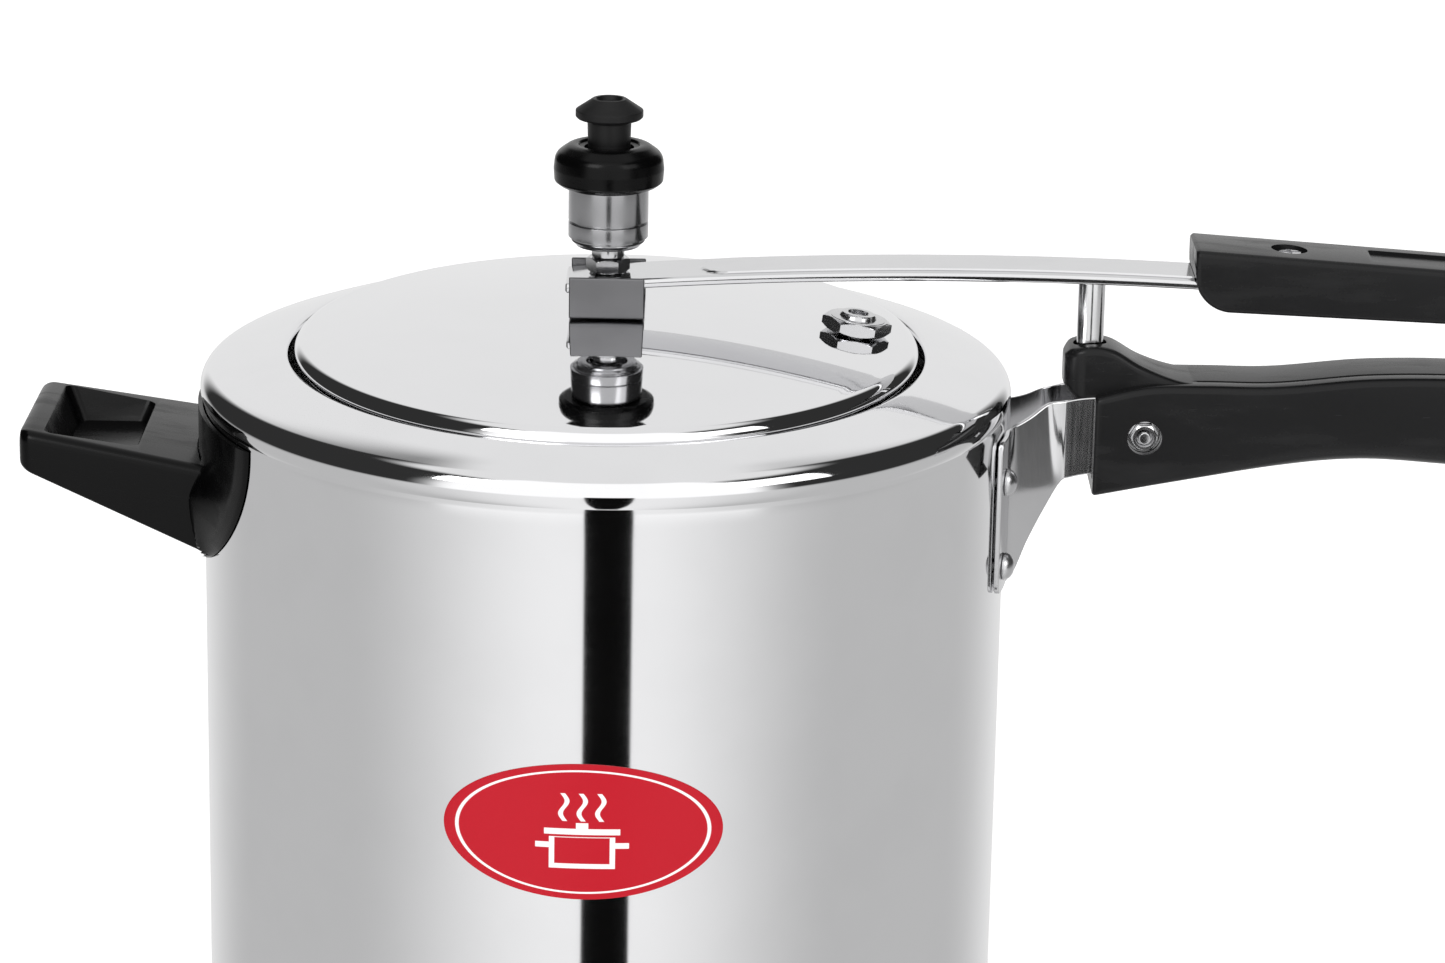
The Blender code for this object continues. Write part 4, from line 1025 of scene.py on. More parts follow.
@dataclass
class Lid:
    """The inner lid with its rubber ring, saddle, steam tube and safety valve.

    Attributes:
        pot: the pot that it fits.
        gap: from the skirt out to the mouth.
        thick: the sheet's thickness.
        apex: the dome's height.
        drop: from the apex down to the rounded edge.
        edge: the edge's radius.
        flange: how far the flange stands out.
        flange_z: the flange's top and bottom.
        ring: the rubber ring's inner and outer distance from the skirt.
        saddle: the saddle's length, half-width, sheet and height.
        valve_x: where the safety valve stands.
    """

    pot: Pot
    gap: float = 1.5
    thick: float = 3.0
    apex: float = 12.3
    drop: float = 7.6
    edge: float = 4.0
    flange: float = 7.0
    flange_z: tuple[float, float] = (-7.0, -9.6)
    ring: tuple[float, float] = (4.5, 9.5)
    saddle: tuple[float, float, float, float] = (22.2, 12.7, 1.4, 12.7)
    valve_x: float = 74.0

    def oval(self, offset: Array, z: Array, turn: Array) -> Array:
        """Rings round the skirt: ovals whose half-axes are the skirt's plus an offset.

        Args:
            offset: distance outside the skirt, per ring.
            z: height of each ring, or of each point.
            turn: the oval's parameter.

        Returns:
            Points of shape (rings, turns, 3).
        """
        a, b = (m - self.gap for m in self.pot.mouth)
        grow = offset[:, None]
        x, y = (a + grow) * np.cos(turn), (b + grow) * np.sin(turn)
        return np.stack([x, y, np.broadcast_to(z if z.ndim == 2 else z[:, None], x.shape) + MOUTH], -1)

    def dome_z(self, x: Array, y: Array) -> Array:
        """Height of the dome: the apex less the drop times the squared share of the way out."""
        a, b = (m - self.gap - self.edge for m in self.pot.mouth)
        return self.apex - self.drop * ((x / a) ** 2 + (y / b) ** 2)

    def dome(self, shares: Array, depth: float, turn: Array) -> Array:
        """Rings of the dome at shares of the way out to its rounded edge, `depth` under its top."""
        a, b = (m - self.gap - self.edge for m in self.pot.mouth)
        x, y = shares[:, None] * a * np.cos(turn), shares[:, None] * b * np.sin(turn)
        return np.stack([x, y, self.dome_z(x, y) - depth + MOUTH], -1)

    def plate(self) -> bpy.types.Object:
        """The lid's skin: dome, rounded edge, skirt, flange and the underside."""
        turn = full_turn(288)
        edge_z = self.apex - self.drop - self.edge
        bend = np.radians(np.linspace(83, 0, 16))
        top, bottom = self.flange_z
        reach = self.flange
        rows = [self.dome(np.linspace(0, 0.985, 40) ** 0.8, 0.0, turn),
                self.oval(self.edge * (np.cos(bend) - 1), edge_z + self.edge * np.sin(bend), turn),
                self.oval(np.array([0.0, 0.6, reach - 0.8, reach, reach, reach - 0.8]),
                          np.array([top + 0.6, top, top, top - 0.8, bottom + 0.8, bottom]), turn),
                self.oval(np.array([-self.thick + 0.8, -self.thick, -self.thick]),
                          np.array([bottom, bottom + 0.8, edge_z - 1.0]), turn),
                self.dome(np.linspace(0.93, 0, 16), self.thick, turn)]
        made = skin("lid_plate", np.concatenate(rows), sharp=40.0)
        carve(made, drill("tube_way", 4.2, (MOUTH, MOUTH + 20)),
              drill("valve_way", 5.3, (-14, 14), self.valve_place()))
        return made

    def rim_under(self, turn: Array, offset: Array) -> Array:
        """Height of the shoulder's inner face over an offset ring, less the clearance."""
        ring = self.oval(offset, np.zeros(len(offset)), turn)
        angle = np.arctan2(ring[..., 1], ring[..., 0])
        reach = np.hypot(ring[..., 0], ring[..., 1])
        near = self.pot.mouth_radius(angle) + self.pot.lip
        end = math.radians(68)
        bend = self.pot.bulge - self.pot.wall
        far = self.pot.bulge_r + bend * math.cos(end)
        far_z = self.pot.bulge_z + bend * math.sin(end)
        near_z = self.pot.lip_z - self.pot.lip
        return near_z + (far_z - near_z) * (reach - near) / (far - near) - 0.3

    def seal(self) -> bpy.types.Object:
        """The rubber ring: a channel round the flange with two fine beads on its sealing face."""
        turn = full_turn(240)
        inner, outer = self.ring
        across = np.linspace(inner, outer, 25)
        face = self.rim_under(turn, across)
        bead = 0.35 * (1 - np.cos(4 * np.pi * (across - inner) / (outer - inner))) / 2
        top = self.oval(across, face - 0.35 + bead[:, None], turn)
        slot_top, slot_bottom = self.flange_z[0] + 0.3, self.flange_z[1] - 0.3
        foot = slot_bottom - 2.0
        rest = self.oval(np.array([outer, outer - 0.5, inner + 0.4, inner, inner, self.flange + 0.3,
                                   self.flange + 0.3, inner]),
                         np.array([foot + 0.5, foot, foot, foot + 0.4, slot_bottom, slot_bottom,
                                   slot_top, slot_top]), turn)
        return skin("rubber_ring", np.concatenate([top, rest]), wrap_u=True, sharp=45.0)

    def saddle_piece(self) -> bpy.types.Object:
        """The folded saddle: a U section carried along X with its outer corners rounded."""
        length, w, sheet, height = self.saddle
        z0 = MOUTH + self.apex + 0.3
        corners = [(-w, z0, 1.6), (w, z0, 1.6), (w, z0 + height, 0.5), (w - sheet, z0 + height, 0.5),
                   (w - sheet, z0 + sheet, 0.5), (-w + sheet, z0 + sheet, 0.5),
                   (-w + sheet, z0 + height, 0.5), (-w, z0 + height, 0.5)]
        outline = dense(fillet(corners, 5), 2.0)
        x = np.array([-length / 2, -length / 2 + 0.25, length / 2 - 0.25, length / 2])
        inset = np.array([0.97, 1.0, 1.0, 0.97])
        middle = np.array((0.0, z0 + height / 2))
        ring = middle + (outline - middle)[None] * inset[:, None, None]
        grid = np.concatenate([np.broadcast_to(x[:, None, None], (*ring.shape[:2], 1)), ring], -1)
        mesh = bpy.data.meshes.new("saddle_bracket")
        rows, count = grid.shape[:2]
        index = np.arange(rows * count).reshape(rows, count)
        here, after = index[:-1], index[1:]
        quads = np.stack([here, np.roll(here, -1, 1), np.roll(after, -1, 1), after], -1)
        faces = quads.reshape(-1, 4).tolist() + [index[0].tolist(), index[-1].tolist()]
        mesh.from_pydata((grid.reshape(-1, 3) * MM).tolist(), [], faces)
        made = bpy.data.objects.new("saddle_bracket", mesh)
        bpy.context.scene.collection.objects.link(made)
        settle(made)
        carve(made, drill("saddle_way", 4.2, (z0 - 2, z0 + sheet + 2)))
        return made

    def valve_place(self) -> Matrix:
        """Where the valve stands: on the dome, its axis along the dome's normal."""
        x = np.array([self.valve_x - 0.5, self.valve_x, self.valve_x + 0.5])
        z = self.dome_z(x, np.zeros(3))
        tilt = Matrix.Rotation(-math.atan(float(z[2] - z[0])), 4, "Y")
        return Matrix.Translation((self.valve_x, 0, MOUTH + float(z[1]))) @ tilt

    def valve(self) -> None:
        """The safety valve: hexagon with a washer face, raised boss, plug, and washer and nut below."""
        place = self.valve_place()
        seat, top = 0.55, 4.55
        body = hexagon("valve_hexagon", 18.1, (seat, top), 3.0, place, chamfer=0.9)
        corners = [(2.9, top - 1, 0), (8.2, top - 1, 0), (8.2, top + 0.12, 0.1),
                   (5.6, top + 0.18, 0), (5.3, top + 1.0, 0.15), (4.9, top + 1.5, 0.2),
                   (3.3, top + 1.5, 0.2), (2.9, top + 1.1, 0)]
        boss = lathe("valve_boss", fillet(corners, 4), 72, ring=True, place=place)
        stem = fillet([(2.9, top - 1.2, 0), (4.9, top - 1.2, 0), (4.9, -9.6, 0.4), (2.9, -9.9, 0.2)], 4)
        shank = lathe("valve_shank", stem, 48, ring=True, place=place)
        for piece in (body, boss, shank):
            nodes = ["safety_valve_body"] if piece is body else []
            fit(piece, Body.LID, Finish.PLATED, nodes)
        plug = fillet([(0, -9.0, 0), (2.6, -9.0, 0.3), (2.6, top + 0.1, 0.5), (1.3, top + 0.75, 0.3),
                       (0, top + 0.65, 0)], 5, closed=False)
        fit(lathe("valve_plug", plug, 40, place=place), Body.LID, Finish.ALLOY,
            ["safety_valve_plug"])
        washer = fillet([(5.3, -4.6, 0.2), (9.0, -4.6, 0.5), (9.0, -3.2, 0.5), (5.3, -3.2, 0.2)], 4)
        fit(lathe("valve_washer", washer, 64, ring=True, place=place), Body.LID,
            Finish.RUBBER, ["safety_valve_washer"])
        fit(hexagon("valve_nut", 15.0, (-8.5, -4.9), 5.3, place), Body.LID,
            Finish.PLATED, ["safety_valve_nut"])

    def steam_tube(self) -> None:
        """The steam tube with its neck, tip and thread under the lid, and its two nuts."""
        nut_z = 24.67  # the nut's underside above the mouth, clear of the bar
        neck = nut_z + 4.5
        corners = [(1.5, 2.4, 0.3), (3.5, 2.0, 0.3), (3.9, 2.8, 0.2), (3.9, neck, 0.1), (4.9, neck, 0.3),
                   (4.9, 31.6, 0.5), (3.9, 33.0, 0.6), (3.4, 36.5, 0.6), (3.4, 42.0, 0.8),
                   (2.1, 45.0, 0.5), (1.5, 44.6, 0.2)]
        profile = fillet([(r, MOUTH + z, f) for r, z, f in corners], 5)
        fit(lathe("steam_tube", profile, 64, ring=True), Body.LID, Finish.TURNED,
            ["vent_tube"])
        fit(hexagon("tube_nut", 11.3, (MOUTH + nut_z, MOUTH + nut_z + 4.2), 4.2), Body.LID,
            Finish.PLATED, ["vent_tube_nut"])
        under = MOUTH + self.apex - self.thick - 0.3
        fit(hexagon("tube_locknut", 14.0, (under - 4.0, under), 4.2), Body.LID,
            Finish.PLATED, ["vent_tube_locknut"])

    def build(self) -> None:
        """Makes the lid and all it carries."""
        fit(self.plate(), Body.LID, Finish.MIRROR, ["lid"])
        fit(self.seal(), Body.LID, Finish.RUBBER, ["gasket"])
        fit(self.saddle_piece(), Body.LID, Finish.SADDLE, ["lid_bracket"])
        self.steam_tube()
        self.valve()


@dataclass
class Weight:
    """The pressure weight: turned steel body, spring clip, black cap and knob.

    Attributes:
        bottom: the body's underside above the mouth.
        top: the body's shoulder.
        radius: the body's radius.
    """

    bottom: float = 32.5
    top: float = 50.6
    radius: float = 11.85

    def lifted(self, corners: Sequence[tuple[float, float, float]], steps: int = 5,
               closed: bool = True) -> Array:
        """A filleted profile given above the mouth, at its height above the base."""
        return fillet([(r, z + MOUTH, f) for r, z, f in corners], steps, closed)

    def build(self) -> None:
        """Makes the weight's four pieces."""
        b, t, r = self.bottom, self.top, self.radius
        body = self.lifted([(0, 46.8, 0), (1.5, 45.3, 0), (6.6, 45.3, 0.3), (6.6, b, 0.3), (9.4, b, 0.4),
                            (9.9, b + 0.7, 0.3), (11.3, b + 1.9, 0.3), (r - 1.0, b + 2.0, 0.1),
                            (r - 1.0, b + 2.7, 0.1), (r, b + 2.8, 0.12), (r, b + 7.2, 0.12),
                            (r - 0.8, b + 7.3, 0.1), (r - 0.8, b + 7.8, 0.1), (r, b + 7.9, 0.12),
                            (r, t - 0.5, 0.3), (r - 0.5, t, 0.1), (7.0, t, 0.1), (7.0, t + 6.4, 0.3),
                            (0, t + 6.4, 0)], closed=False)
        fit(lathe("weight_body", body, 128, sharp=24.0), Body.WEIGHT, Finish.WEIGHT,
            ["vent_weight_body"])
        clip = self.lifted([(5.6, b + 3, 0.2), (6.3, b + 3, 0.2), (6.3, b + 9, 0.2), (5.6, b + 9, 0.2),
                            (5.1, b + 6, 0.8)])
        fit(lathe("weight_clip_spring", clip, 64, ring=True), Body.CLIP, Finish.PLATED,
            ["vent_weight_clip"])
        z = t + 0.3
        cap = self.lifted([(7.3, z, 0.3), (14.4, z, 0.8), (16.1, z + 1.3, 1.0), (16.35, z + 5.0, 3.2),
                           (15.9, z + 9.3, 4.0), (11.6, z + 12.4, 4.2), (9.2, z + 12.3, 0.6),
                           (8.6, z + 11.5, 0.5), (7.3, z + 11.3, 0.2)], 8)
        fit(lathe("weight_cap", cap, 128, ring=True, sharp=40.0), Body.WEIGHT,
            Finish.GLOSSY, ["vent_weight_cap"])
        z = t + 6.7
        knob = self.lifted([(0, z, 0), (6.7, z, 0.3), (6.3, 63.4, 2.0), (6.5, 69.8, 0.8),
                            (7.2, 70.8, 0.3), (9.4, 70.9, 0.3), (10.0, 71.5, 0.25), (10.0, 73.4, 0.3),
                            (5.0, 76.8, 0.5), (4.1, 76.75, 0.25), (3.2, 75.6, 0.4),
                            (0, 75.3, 0)], 6, closed=False)
        fit(lathe("weight_knob", knob, 96, sharp=40.0), Body.WEIGHT, Finish.MATTE,
            ["vent_weight_knob"])


# ---------------------------------------------------------------- bar and upper handle

@dataclass
class Bar:
    """The arched lever bar with its pin and black upper handle.

    Attributes:
        half_w: half the bar's width.
        thick: its thickness.
        ends: its ends along X.
        apex: place and height of the arch's top.
        curve: its drop is this times the squared distance from the top.
        bead: where the raised bead begins, its half-width and its height.
        pin_x: where the pin stands.
        pin_r: its radius.
        foot_z: centre of the pin's round foot.
    """

    half_w: float = 11.0
    thick: float = 3.0
    ends: tuple[float, float] = (-12.2, 262.0)
    apex: tuple[float, float] = (115.0, 28.75)
    curve: float = 0.000354
    bead: tuple[float, float, float] = (27.5, 8.6, 0.55)
    pin_x: float = 144.0
    pin_r: float = 4.0
    foot_z: float = 2.3

    def top(self, x: Array) -> Array:
        """Height of the bar's top: the apex less the curve times the squared distance."""
        return MOUTH + self.apex[1] - self.curve * (x - self.apex[0]) ** 2

    def strip(self) -> bpy.types.Object:
        """The bar's skin: a rounded flat section along the arch.

        On the top a flat bead stands up: its height is a smooth step of the distance inside its
        outline, which is a straight band with a round left end.
        """
        x = np.concatenate([[self.ends[0]], np.linspace(self.ends[0] + 0.4, self.ends[1] - 0.4, 420),
                            [self.ends[1]]])
        tight = np.zeros_like(x)
        tight[[0, -1]] = 0.4
        top = self.top(x)
        radius = np.full_like(x, 1.2)
        ring = rounded_section((-self.half_w + tight, self.half_w - tight), top - self.thick + tight,
                               top - tight, [radius] * 4, 5)
        lower, upper = np.split(ring, 2, axis=1)
        share = np.linspace(0, 1, 62)[1:-1]
        face = upper[:, 5, None] + (upper[:, 6] - upper[:, 5])[:, None] * share[:, None]
        ring = np.concatenate([lower, upper[:, :6], face, upper[:, 6:]], 1)
        start, half, height = self.bead
        y = ring[..., 0]
        over = np.maximum(start + half - x, 0)[:, None]
        inside = half - np.hypot(y, over)
        raised = np.zeros(ring.shape[:2])
        flat = slice(lower.shape[1] + 5, lower.shape[1] + 8 + len(share))
        raised[:, flat] = height * ease(inside[:, flat], 0.0, 0.45)
        grid = np.stack([np.broadcast_to(x[:, None], y.shape), y, ring[..., 1] + raised], -1)
        made = skin("lever_bar", grid, caps=(True, True), sharp=50.0)
        carve(made, drill("bar_tube_way", 5.5, (MOUTH + 15, MOUTH + 35)))
        return made

    def pin(self) -> bpy.types.Object:
        """The upright pin with its round foot, turned grooves near the top and a chamfer."""
        top = float(self.top(np.array(self.pin_x))) - self.thick - 0.35
        foot = MOUTH + self.foot_z
        angle = np.radians(np.linspace(-90, 0, 12))
        ball = np.column_stack([self.pin_r * np.cos(angle), foot + self.pin_r * np.sin(angle)])
        shaft = fillet([(self.pin_r, foot, 0), (self.pin_r, top - 0.4, 0.2), (self.pin_r - 0.4, top, 0.2),
                        (0, top, 0)], 4, closed=False)
        return lathe("fulcrum", np.concatenate([ball, shaft[1:]]), 64,
                     place=Matrix.Translation((self.pin_x, 0, 0)))

    def build(self) -> None:
        """Makes the bar, its pin and its handle."""
        fit(self.strip(), Body.BAR, Finish.STRIP, ["handle_bar"])
        fit(self.pin(), Body.BAR, Finish.PIN, ["fulcrum_pin"])
        UpperHandle(self).build()


@dataclass
class UpperHandle:
    """The black grip on the bar's far end.

    Attributes:
        bar: the bar that it grips.
        ends: its ends along X.
        half_w: half its width.
        top: its top's height at both ends.
        bottom: its underside's height at both ends.
        chin: radius of the lower inner corner.
        nose: radius of the outer end's corners.
        edge: radius of its long edges.
        screw_x: where its screw stands.
        panel: the sunk panel's ends along X.
    """

    bar: Bar
    ends: tuple[float, float] = (173.5, 316.0)
    half_w: float = 12.3
    top: tuple[float, float] = (36.7, 27.7)
    bottom: tuple[float, float] = (18.2, 13.2)
    chin: float = 11.0
    nose: float = 6.0
    edge: float = 1.9
    screw_x: float = 202.0
    panel: tuple[float, float] = (226.0, 300.0)

    def grip(self) -> bpy.types.Object:
        """The grip's skin: rounded box sections whose top and underside are straight lines.

        Near the inner end the underside climbs a quarter circle, and at the outer end both
        close over quarter circles; the corner radii shrink with the section.
        """
        x0, x1 = self.ends
        near = x0 + 3.0 * (1 - np.cos(quarter(10)))
        far = x1 - self.nose * (1 - np.sin(quarter(14)))
        x = np.unique(np.concatenate([near, np.linspace(x0 + 3.0, x0 + self.chin + 3, 20),
                                      np.linspace(x0 + self.chin + 3, x1 - self.nose, 60), far]))
        share = (x - x0) / (x1 - x0)
        top = MOUTH + self.top[0] + (self.top[1] - self.top[0]) * share
        bottom = MOUTH + self.bottom[0] + (self.bottom[1] - self.bottom[0]) * share
        inner = np.clip(1 - (x - x0) / self.chin, 0, 1)
        bottom = bottom + self.chin * (1 - np.sqrt(1 - inner ** 2))
        outer = np.clip((x - (x1 - self.nose)) / self.nose, 0, 1)
        close = self.nose * (1 - np.sqrt(1 - outer ** 2))
        head = 1.2 * np.clip(1 - (x - x0) / 1.2, 0, 1) ** 2
        w = self.half_w - 0.8 * close / self.nose * 2 - head * 0.6
        top, bottom = top - close * 0.9 - head * 0.5, bottom + close * 0.9
        radius = np.minimum(self.edge, (top - bottom) * 0.3)
        ring = rounded_section((-w, w), bottom, top, [radius] * 4, 7)
        return sections("upper_grip", x, ring)

    def pockets(self, grip: bpy.types.Object) -> float:
        """Cuts the bar's slot, the screw's pocket and the plain sunk panel.

        Args:
            grip: the grip.

        Returns:
            The height of the screw pocket's floor.
        """
        x0, x1 = self.ends
        slope = (self.top[1] - self.top[0]) / (x1 - x0)

        def level(x: float) -> float:
            """Height of the grip's top."""
            return MOUTH + self.top[0] + slope * (x - x0)

        x = np.linspace(x0 - 4, self.bar.ends[1] + 0.4, 24)
        top = self.bar.top(x)
        room = 0.5
        half = np.full_like(x, self.bar.half_w + room)
        ring = rounded_section((-half, half), top - self.bar.thick - room, top + room + 0.3,
                               [np.full_like(x, 0.6)] * 4, 3)
        slot = sections("bar_slot", x, ring)
        floor = level(self.screw_x) - 4.0
        pocket = drill("screw_pocket", 5.4, (floor, floor + 12),
                       Matrix.Translation((self.screw_x, 0, 0)))
        start, end = self.panel
        panel = block("sunk_panel", (start, end), (-6.5, 6.5), (-0.9, 4.0), radius=1.2)
        panel.data.transform(Matrix.Translation((start * MM, 0, level(start) * MM))
                             @ Matrix.Rotation(-math.atan(slope), 4, "Y")
                             @ Matrix.Translation((-start * MM, 0, 0)))
        carve(grip, slot, pocket, panel)
        return floor

    def build(self) -> None:
        """Makes the grip and its screw."""
        grip = self.grip()
        floor = self.pockets(grip)
        fit(grip, Body.BAR, Finish.PHENOLIC, ["upper_handle"])
        screw = cross_screw("grip_screw", 4.8, floor + 0.3, 2.9, 9.0,
                            Matrix.Translation((self.screw_x, 0, 0)), (0.672, 0.25, 1.1))
        fit(screw, Body.BAR, Finish.PLATED, ["upper_handle_screw"])


def cross_screw(name: str, head: float, seat: float, rise: float, length: float, place: Matrix,
                recess: tuple[float, float, float]) -> bpy.types.Object:
    """A pan-head screw with a cross recess, built on Z and carried to its place.

    Args:
        name: its name.
        head: radius of the head.
        seat: height of the head's underside.
        rise: the head's height.
        length: the shank's length below the seat.
        place: matrix in millimetres that carries it to its place.
        recess: half the width of its arms, how much they widen upwards, and its depth.

    Returns:
        The screw.
    """
    foot, crown = seat - length, seat + rise
    profile = fillet([(0, foot, 0), (1.2, foot, 0.3), (2.0, foot + 2, 0.4), (2.0, seat, 0.1),
                      (head, seat, 0.15), (head, seat + rise * 0.45, 0.6),
                      (head * 0.72, crown, 1.2), (0, crown, 0)], 5, closed=False)
    screw = lathe(name, profile, 56)
    narrow, taper, depth = recess
    sizes = ((head * 0.62, narrow), (narrow, head * 0.62))
    carve(screw, *(block(f"{name}_arm_{k}", (-u, u), (-v, v), (crown - depth, crown + 2), taper)
                   for k, (u, v) in enumerate(sizes)))
    moved = place.copy()
    moved.translation = moved.translation * MM
    screw.data.transform(moved)
    return screw


# ---------------------------------------------------------------- lower handle

@dataclass
class LowerHandle:
    """The lower handle: a rear core with the pin's boss and a front cheek, and their fasteners.

    Attributes:
        half_w: half the width over both halves.
        split: where they meet along Y.
        edge: radius of the outer edges.
        swell: how much larger the lower outer edges become along the grip.
        tops: knots (x, z) of the upper line.
        bottoms: knots (x, z) of the lower line.
        ends: where the two halves begin and end along X.
        swell_x: where the swelling of the lower edges begins and ends.
        boss_x: where the boss begins.
        boss_r: how far its rounded start reaches.
        nose: place and radius of the round far end.
        bolt: place of the bolt's axis.
        screw: place of the far screw's axis.
        pivot: place of the loop's axis.
    """

    half_w: float = 13.5
    split: float = -7.0
    edge: float = 2.2
    swell: float = 2.0
    tops: tuple[tuple[float, float], ...] = (
        (145.5, -8.6), (161, -5.0), (178, -4.4), (196, -4.4), (228, -1.4), (252, -1.0), (284, -3.4),
        (312, -8.2), (322, -9.4))
    bottoms: tuple[tuple[float, float], ...] = (
        (145.5, -39.2), (176, -33.2), (201, -29.4), (226, -27.2), (251, -28.4), (284, -30.6),
        (312, -29.4), (322, -27.4))
    ends: tuple[float, float] = (145.5, 322.0)
    swell_x: tuple[float, float] = (168.0, 218.0)
    boss_x: float = 136.3
    boss_r: float = 6.5
    nose: tuple[float, float] = (-18.4, 10.0)
    bolt: tuple[float, float] = (160.4, -20.5)
    screw: tuple[float, float] = (285.0, -16.0)
    pivot: tuple[float, float] = (312.0, -14.0)

    def lines(self, x: Array) -> tuple[Array, Array]:
        """Upper and lower line of the handle's side, closed over a half circle at the far end."""
        top = smooth_curve(x, *zip(*self.tops)) + MOUTH
        bottom = smooth_curve(x, *zip(*self.bottoms)) + MOUTH
        z, r = self.nose
        reach = np.clip((x - (self.ends[1] - r)) / r, 0, 1)
        keep = np.sqrt(1 - reach ** 2)
        return (np.where(reach > 0, MOUTH + z + (top - MOUTH - z) * keep, top),
                np.where(reach > 0, MOUTH + z + (bottom - MOUTH - z) * keep, bottom))

    def stations(self) -> Array:
        """Places along X, close together at both ends."""
        (near, far), r = self.ends, self.nose[1]
        start = near + 1.0 * (1 - np.cos(quarter(7)))
        end = far - r * (1 - np.sin(quarter(20)))
        return np.unique(np.concatenate([start, np.linspace(near + 1.0, far - r, 110), end]))

    def half(self, name: str, low_y: float, high_y: float, radii: Sequence[float]) -> bpy.types.Object:
        """One half of the handle: rounded box sections between the two lines.

        Args:
            name: its name.
            low_y: its lower side along Y.
            high_y: its upper side.
            radii: radii of its four long edges.

        Returns:
            The object.
        """
        x = self.stations()
        top, bottom = self.lines(x)
        inset = 0.6 * np.clip(1 - (x - self.ends[0]) / 1.0, 0, 1) ** 2
        limit = np.maximum((top - bottom) * 0.45, 0.01)
        full = 1 + self.swell * ease(x, *self.swell_x)
        corner = [np.minimum(r * full if r == self.edge and k < 2 else r, limit)
                  for k, r in enumerate(radii)]
        left = np.full_like(x, low_y) + inset * (radii[0] > 0.5)
        right = np.full_like(x, high_y) - inset * (radii[1] > 0.5)
        ring = rounded_section((left, right), bottom + inset, top - inset, corner, 7)
        return sections(name, x, ring)

    def boss(self) -> bpy.types.Object:
        """The narrow rib that rises to the pin's boss, flaring into the core.

        Its half-width grows smoothly from the boss to the handle, and its top falls on a
        smooth curve from the boss's flat.
        """
        first, r = self.boss_x, self.boss_r
        x = np.concatenate([first + r * (1 - np.cos(quarter(18))), np.linspace(first + r, 200, 90)[1:]])
        top = smooth_curve(x, (first, 138.0, 140.0, 150.0, 158.5, 169.5, 178, 186, 200),
                           (2.4, 4.4, 5.1, 5.1, 0.4, -3.6, -5.0, -7.0, -9.5))
        start = np.clip(1 - (x - first) / r, 0, 1)
        bottom = smooth_curve(x, (first, 140.0, 146.5, 160, 200), (-6.5, -10.5, -12.5, -16, -18))
        w = 9.0 + 3.9 * ease(x, 152, 186) - 5.2 * (1 - np.sqrt(1 - start ** 2))
        ring = rounded_section((-w, w), bottom + MOUTH, top + MOUTH,
                               [np.full_like(x, 2.4)] * 4, 7)
        return sections("pin_boss", x, ring)

    def build(self) -> None:
        """Makes both halves, the boss and the fasteners."""
        e, seam = self.edge, 0.15
        core = self.half("handle_core", self.split + seam, self.half_w, (0.3, e, e, 0.9))
        cheek = self.half("handle_cheek", -self.half_w, self.split - seam, (e, 0.3, 0.9, e))
        bolt = along_y(self.bolt[0], MOUTH + self.bolt[1])
        screw = along_y(self.screw[0], MOUTH + self.screw[1])
        loop = along_y(self.pivot[0], MOUTH + self.pivot[1])
        tongues = [block(f"tongue_way_{s}", (140.0, 172.0), (s * 9.6 - 1.35, s * 9.6 + 1.35),
                         (MOUTH - 34.4, MOUTH - 10.1)) for s in (-1, 1)]
        carve(cheek, tongues[0], drill("nut_pocket", 5.15, (-16, -10.35), bolt),
              drill("screw_pocket_low", 5.15, (-16, -10.5), screw),
              drill("loop_way_front", 1.9, (-16, -7.9), loop))
        boss = self.boss()
        carve(core, boss, operation="UNION")
        socket = Matrix.Translation((Bar.pin_x, 0, 0))
        carve(core, tongues[1], drill("foot_socket", 5.0, (MOUTH - 2, MOUTH + 12), socket),
              drill("head_pocket", 5.15, (10.35, 16), bolt),
              drill("loop_way_rear", 1.9, (7.9, 16), loop))
        # Both halves take the lit copy of the black phenolic; its raised base colour is painted light.
        fit(core, Body.POT, Finish.PHENOLIC, ["body_handle_core"])
        fit(cheek, Body.POT, Finish.PHENOLIC, ["body_handle_cheek"])
        nut = hexagon("cheek_nut", 7.5, (-13.2, -10.65), 2.3, bolt, chamfer=0.5)
        fit(nut, Body.POT, Finish.PLATED, ["handle_nut"])
        shank = fillet([(0, -13.7, 0), (1.6, -13.7, 0.3), (2.0, -13.2, 0.2), (2.0, 10.65, 0.1),
                        (3.6, 10.65, 0.2), (3.6, 12.2, 0.6), (2.0, 13.3, 0.8), (0, 13.35, 0)],
                       5, closed=False)
        fit(lathe("cheek_bolt", shank, 48, place=bolt), Body.POT, Finish.PLATED,
            ["handle_bolt"])
        flip = screw @ Matrix.Rotation(math.pi, 4, "X")
        fit(cross_screw("cheek_screw", 3.6, 10.8, 2.0, 20.0, flip, (0.55, 0.0, 1.0)), Body.POT,
            Finish.PLATED, ["body_handle_screw"])


@dataclass
class Loop:
    """The wire loop, hanging from the lower handle.

    Attributes:
        pivot: place of its axis.
        side: how far each leg stands from the middle.
        reach: how far each pivot end is from the middle.
        wire: the wire's radius.
    """

    pivot: tuple[float, float] = (312.0, -14.0)
    side: float = 15.6
    reach: float = 8.5
    wire: float = 1.5

    def build(self) -> None:
        """Makes the loop: a wire along a filleted path in the YZ plane."""
        drop = (MOUTH + self.pivot[1]) - (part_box("locking_loop")[0].z / MM + self.wire)
        corners = [(-self.reach, 0, 0), (-self.side, 0, 1.9), (-self.side, -drop, 5.0),
                   (self.side, -drop, 5.0), (self.side, 0, 1.9), (self.reach, 0, 0)]
        flat = dense(fillet(corners, 10, closed=False), 1.5)
        path = np.column_stack([np.full(len(flat), self.pivot[0]), flat[:, 0],
                                flat[:, 1] + MOUTH + self.pivot[1]])
        fit(tube("wire_loop", path, self.wire, 24), Body.LOOP, Finish.PLATED,
            ["locking_loop"])


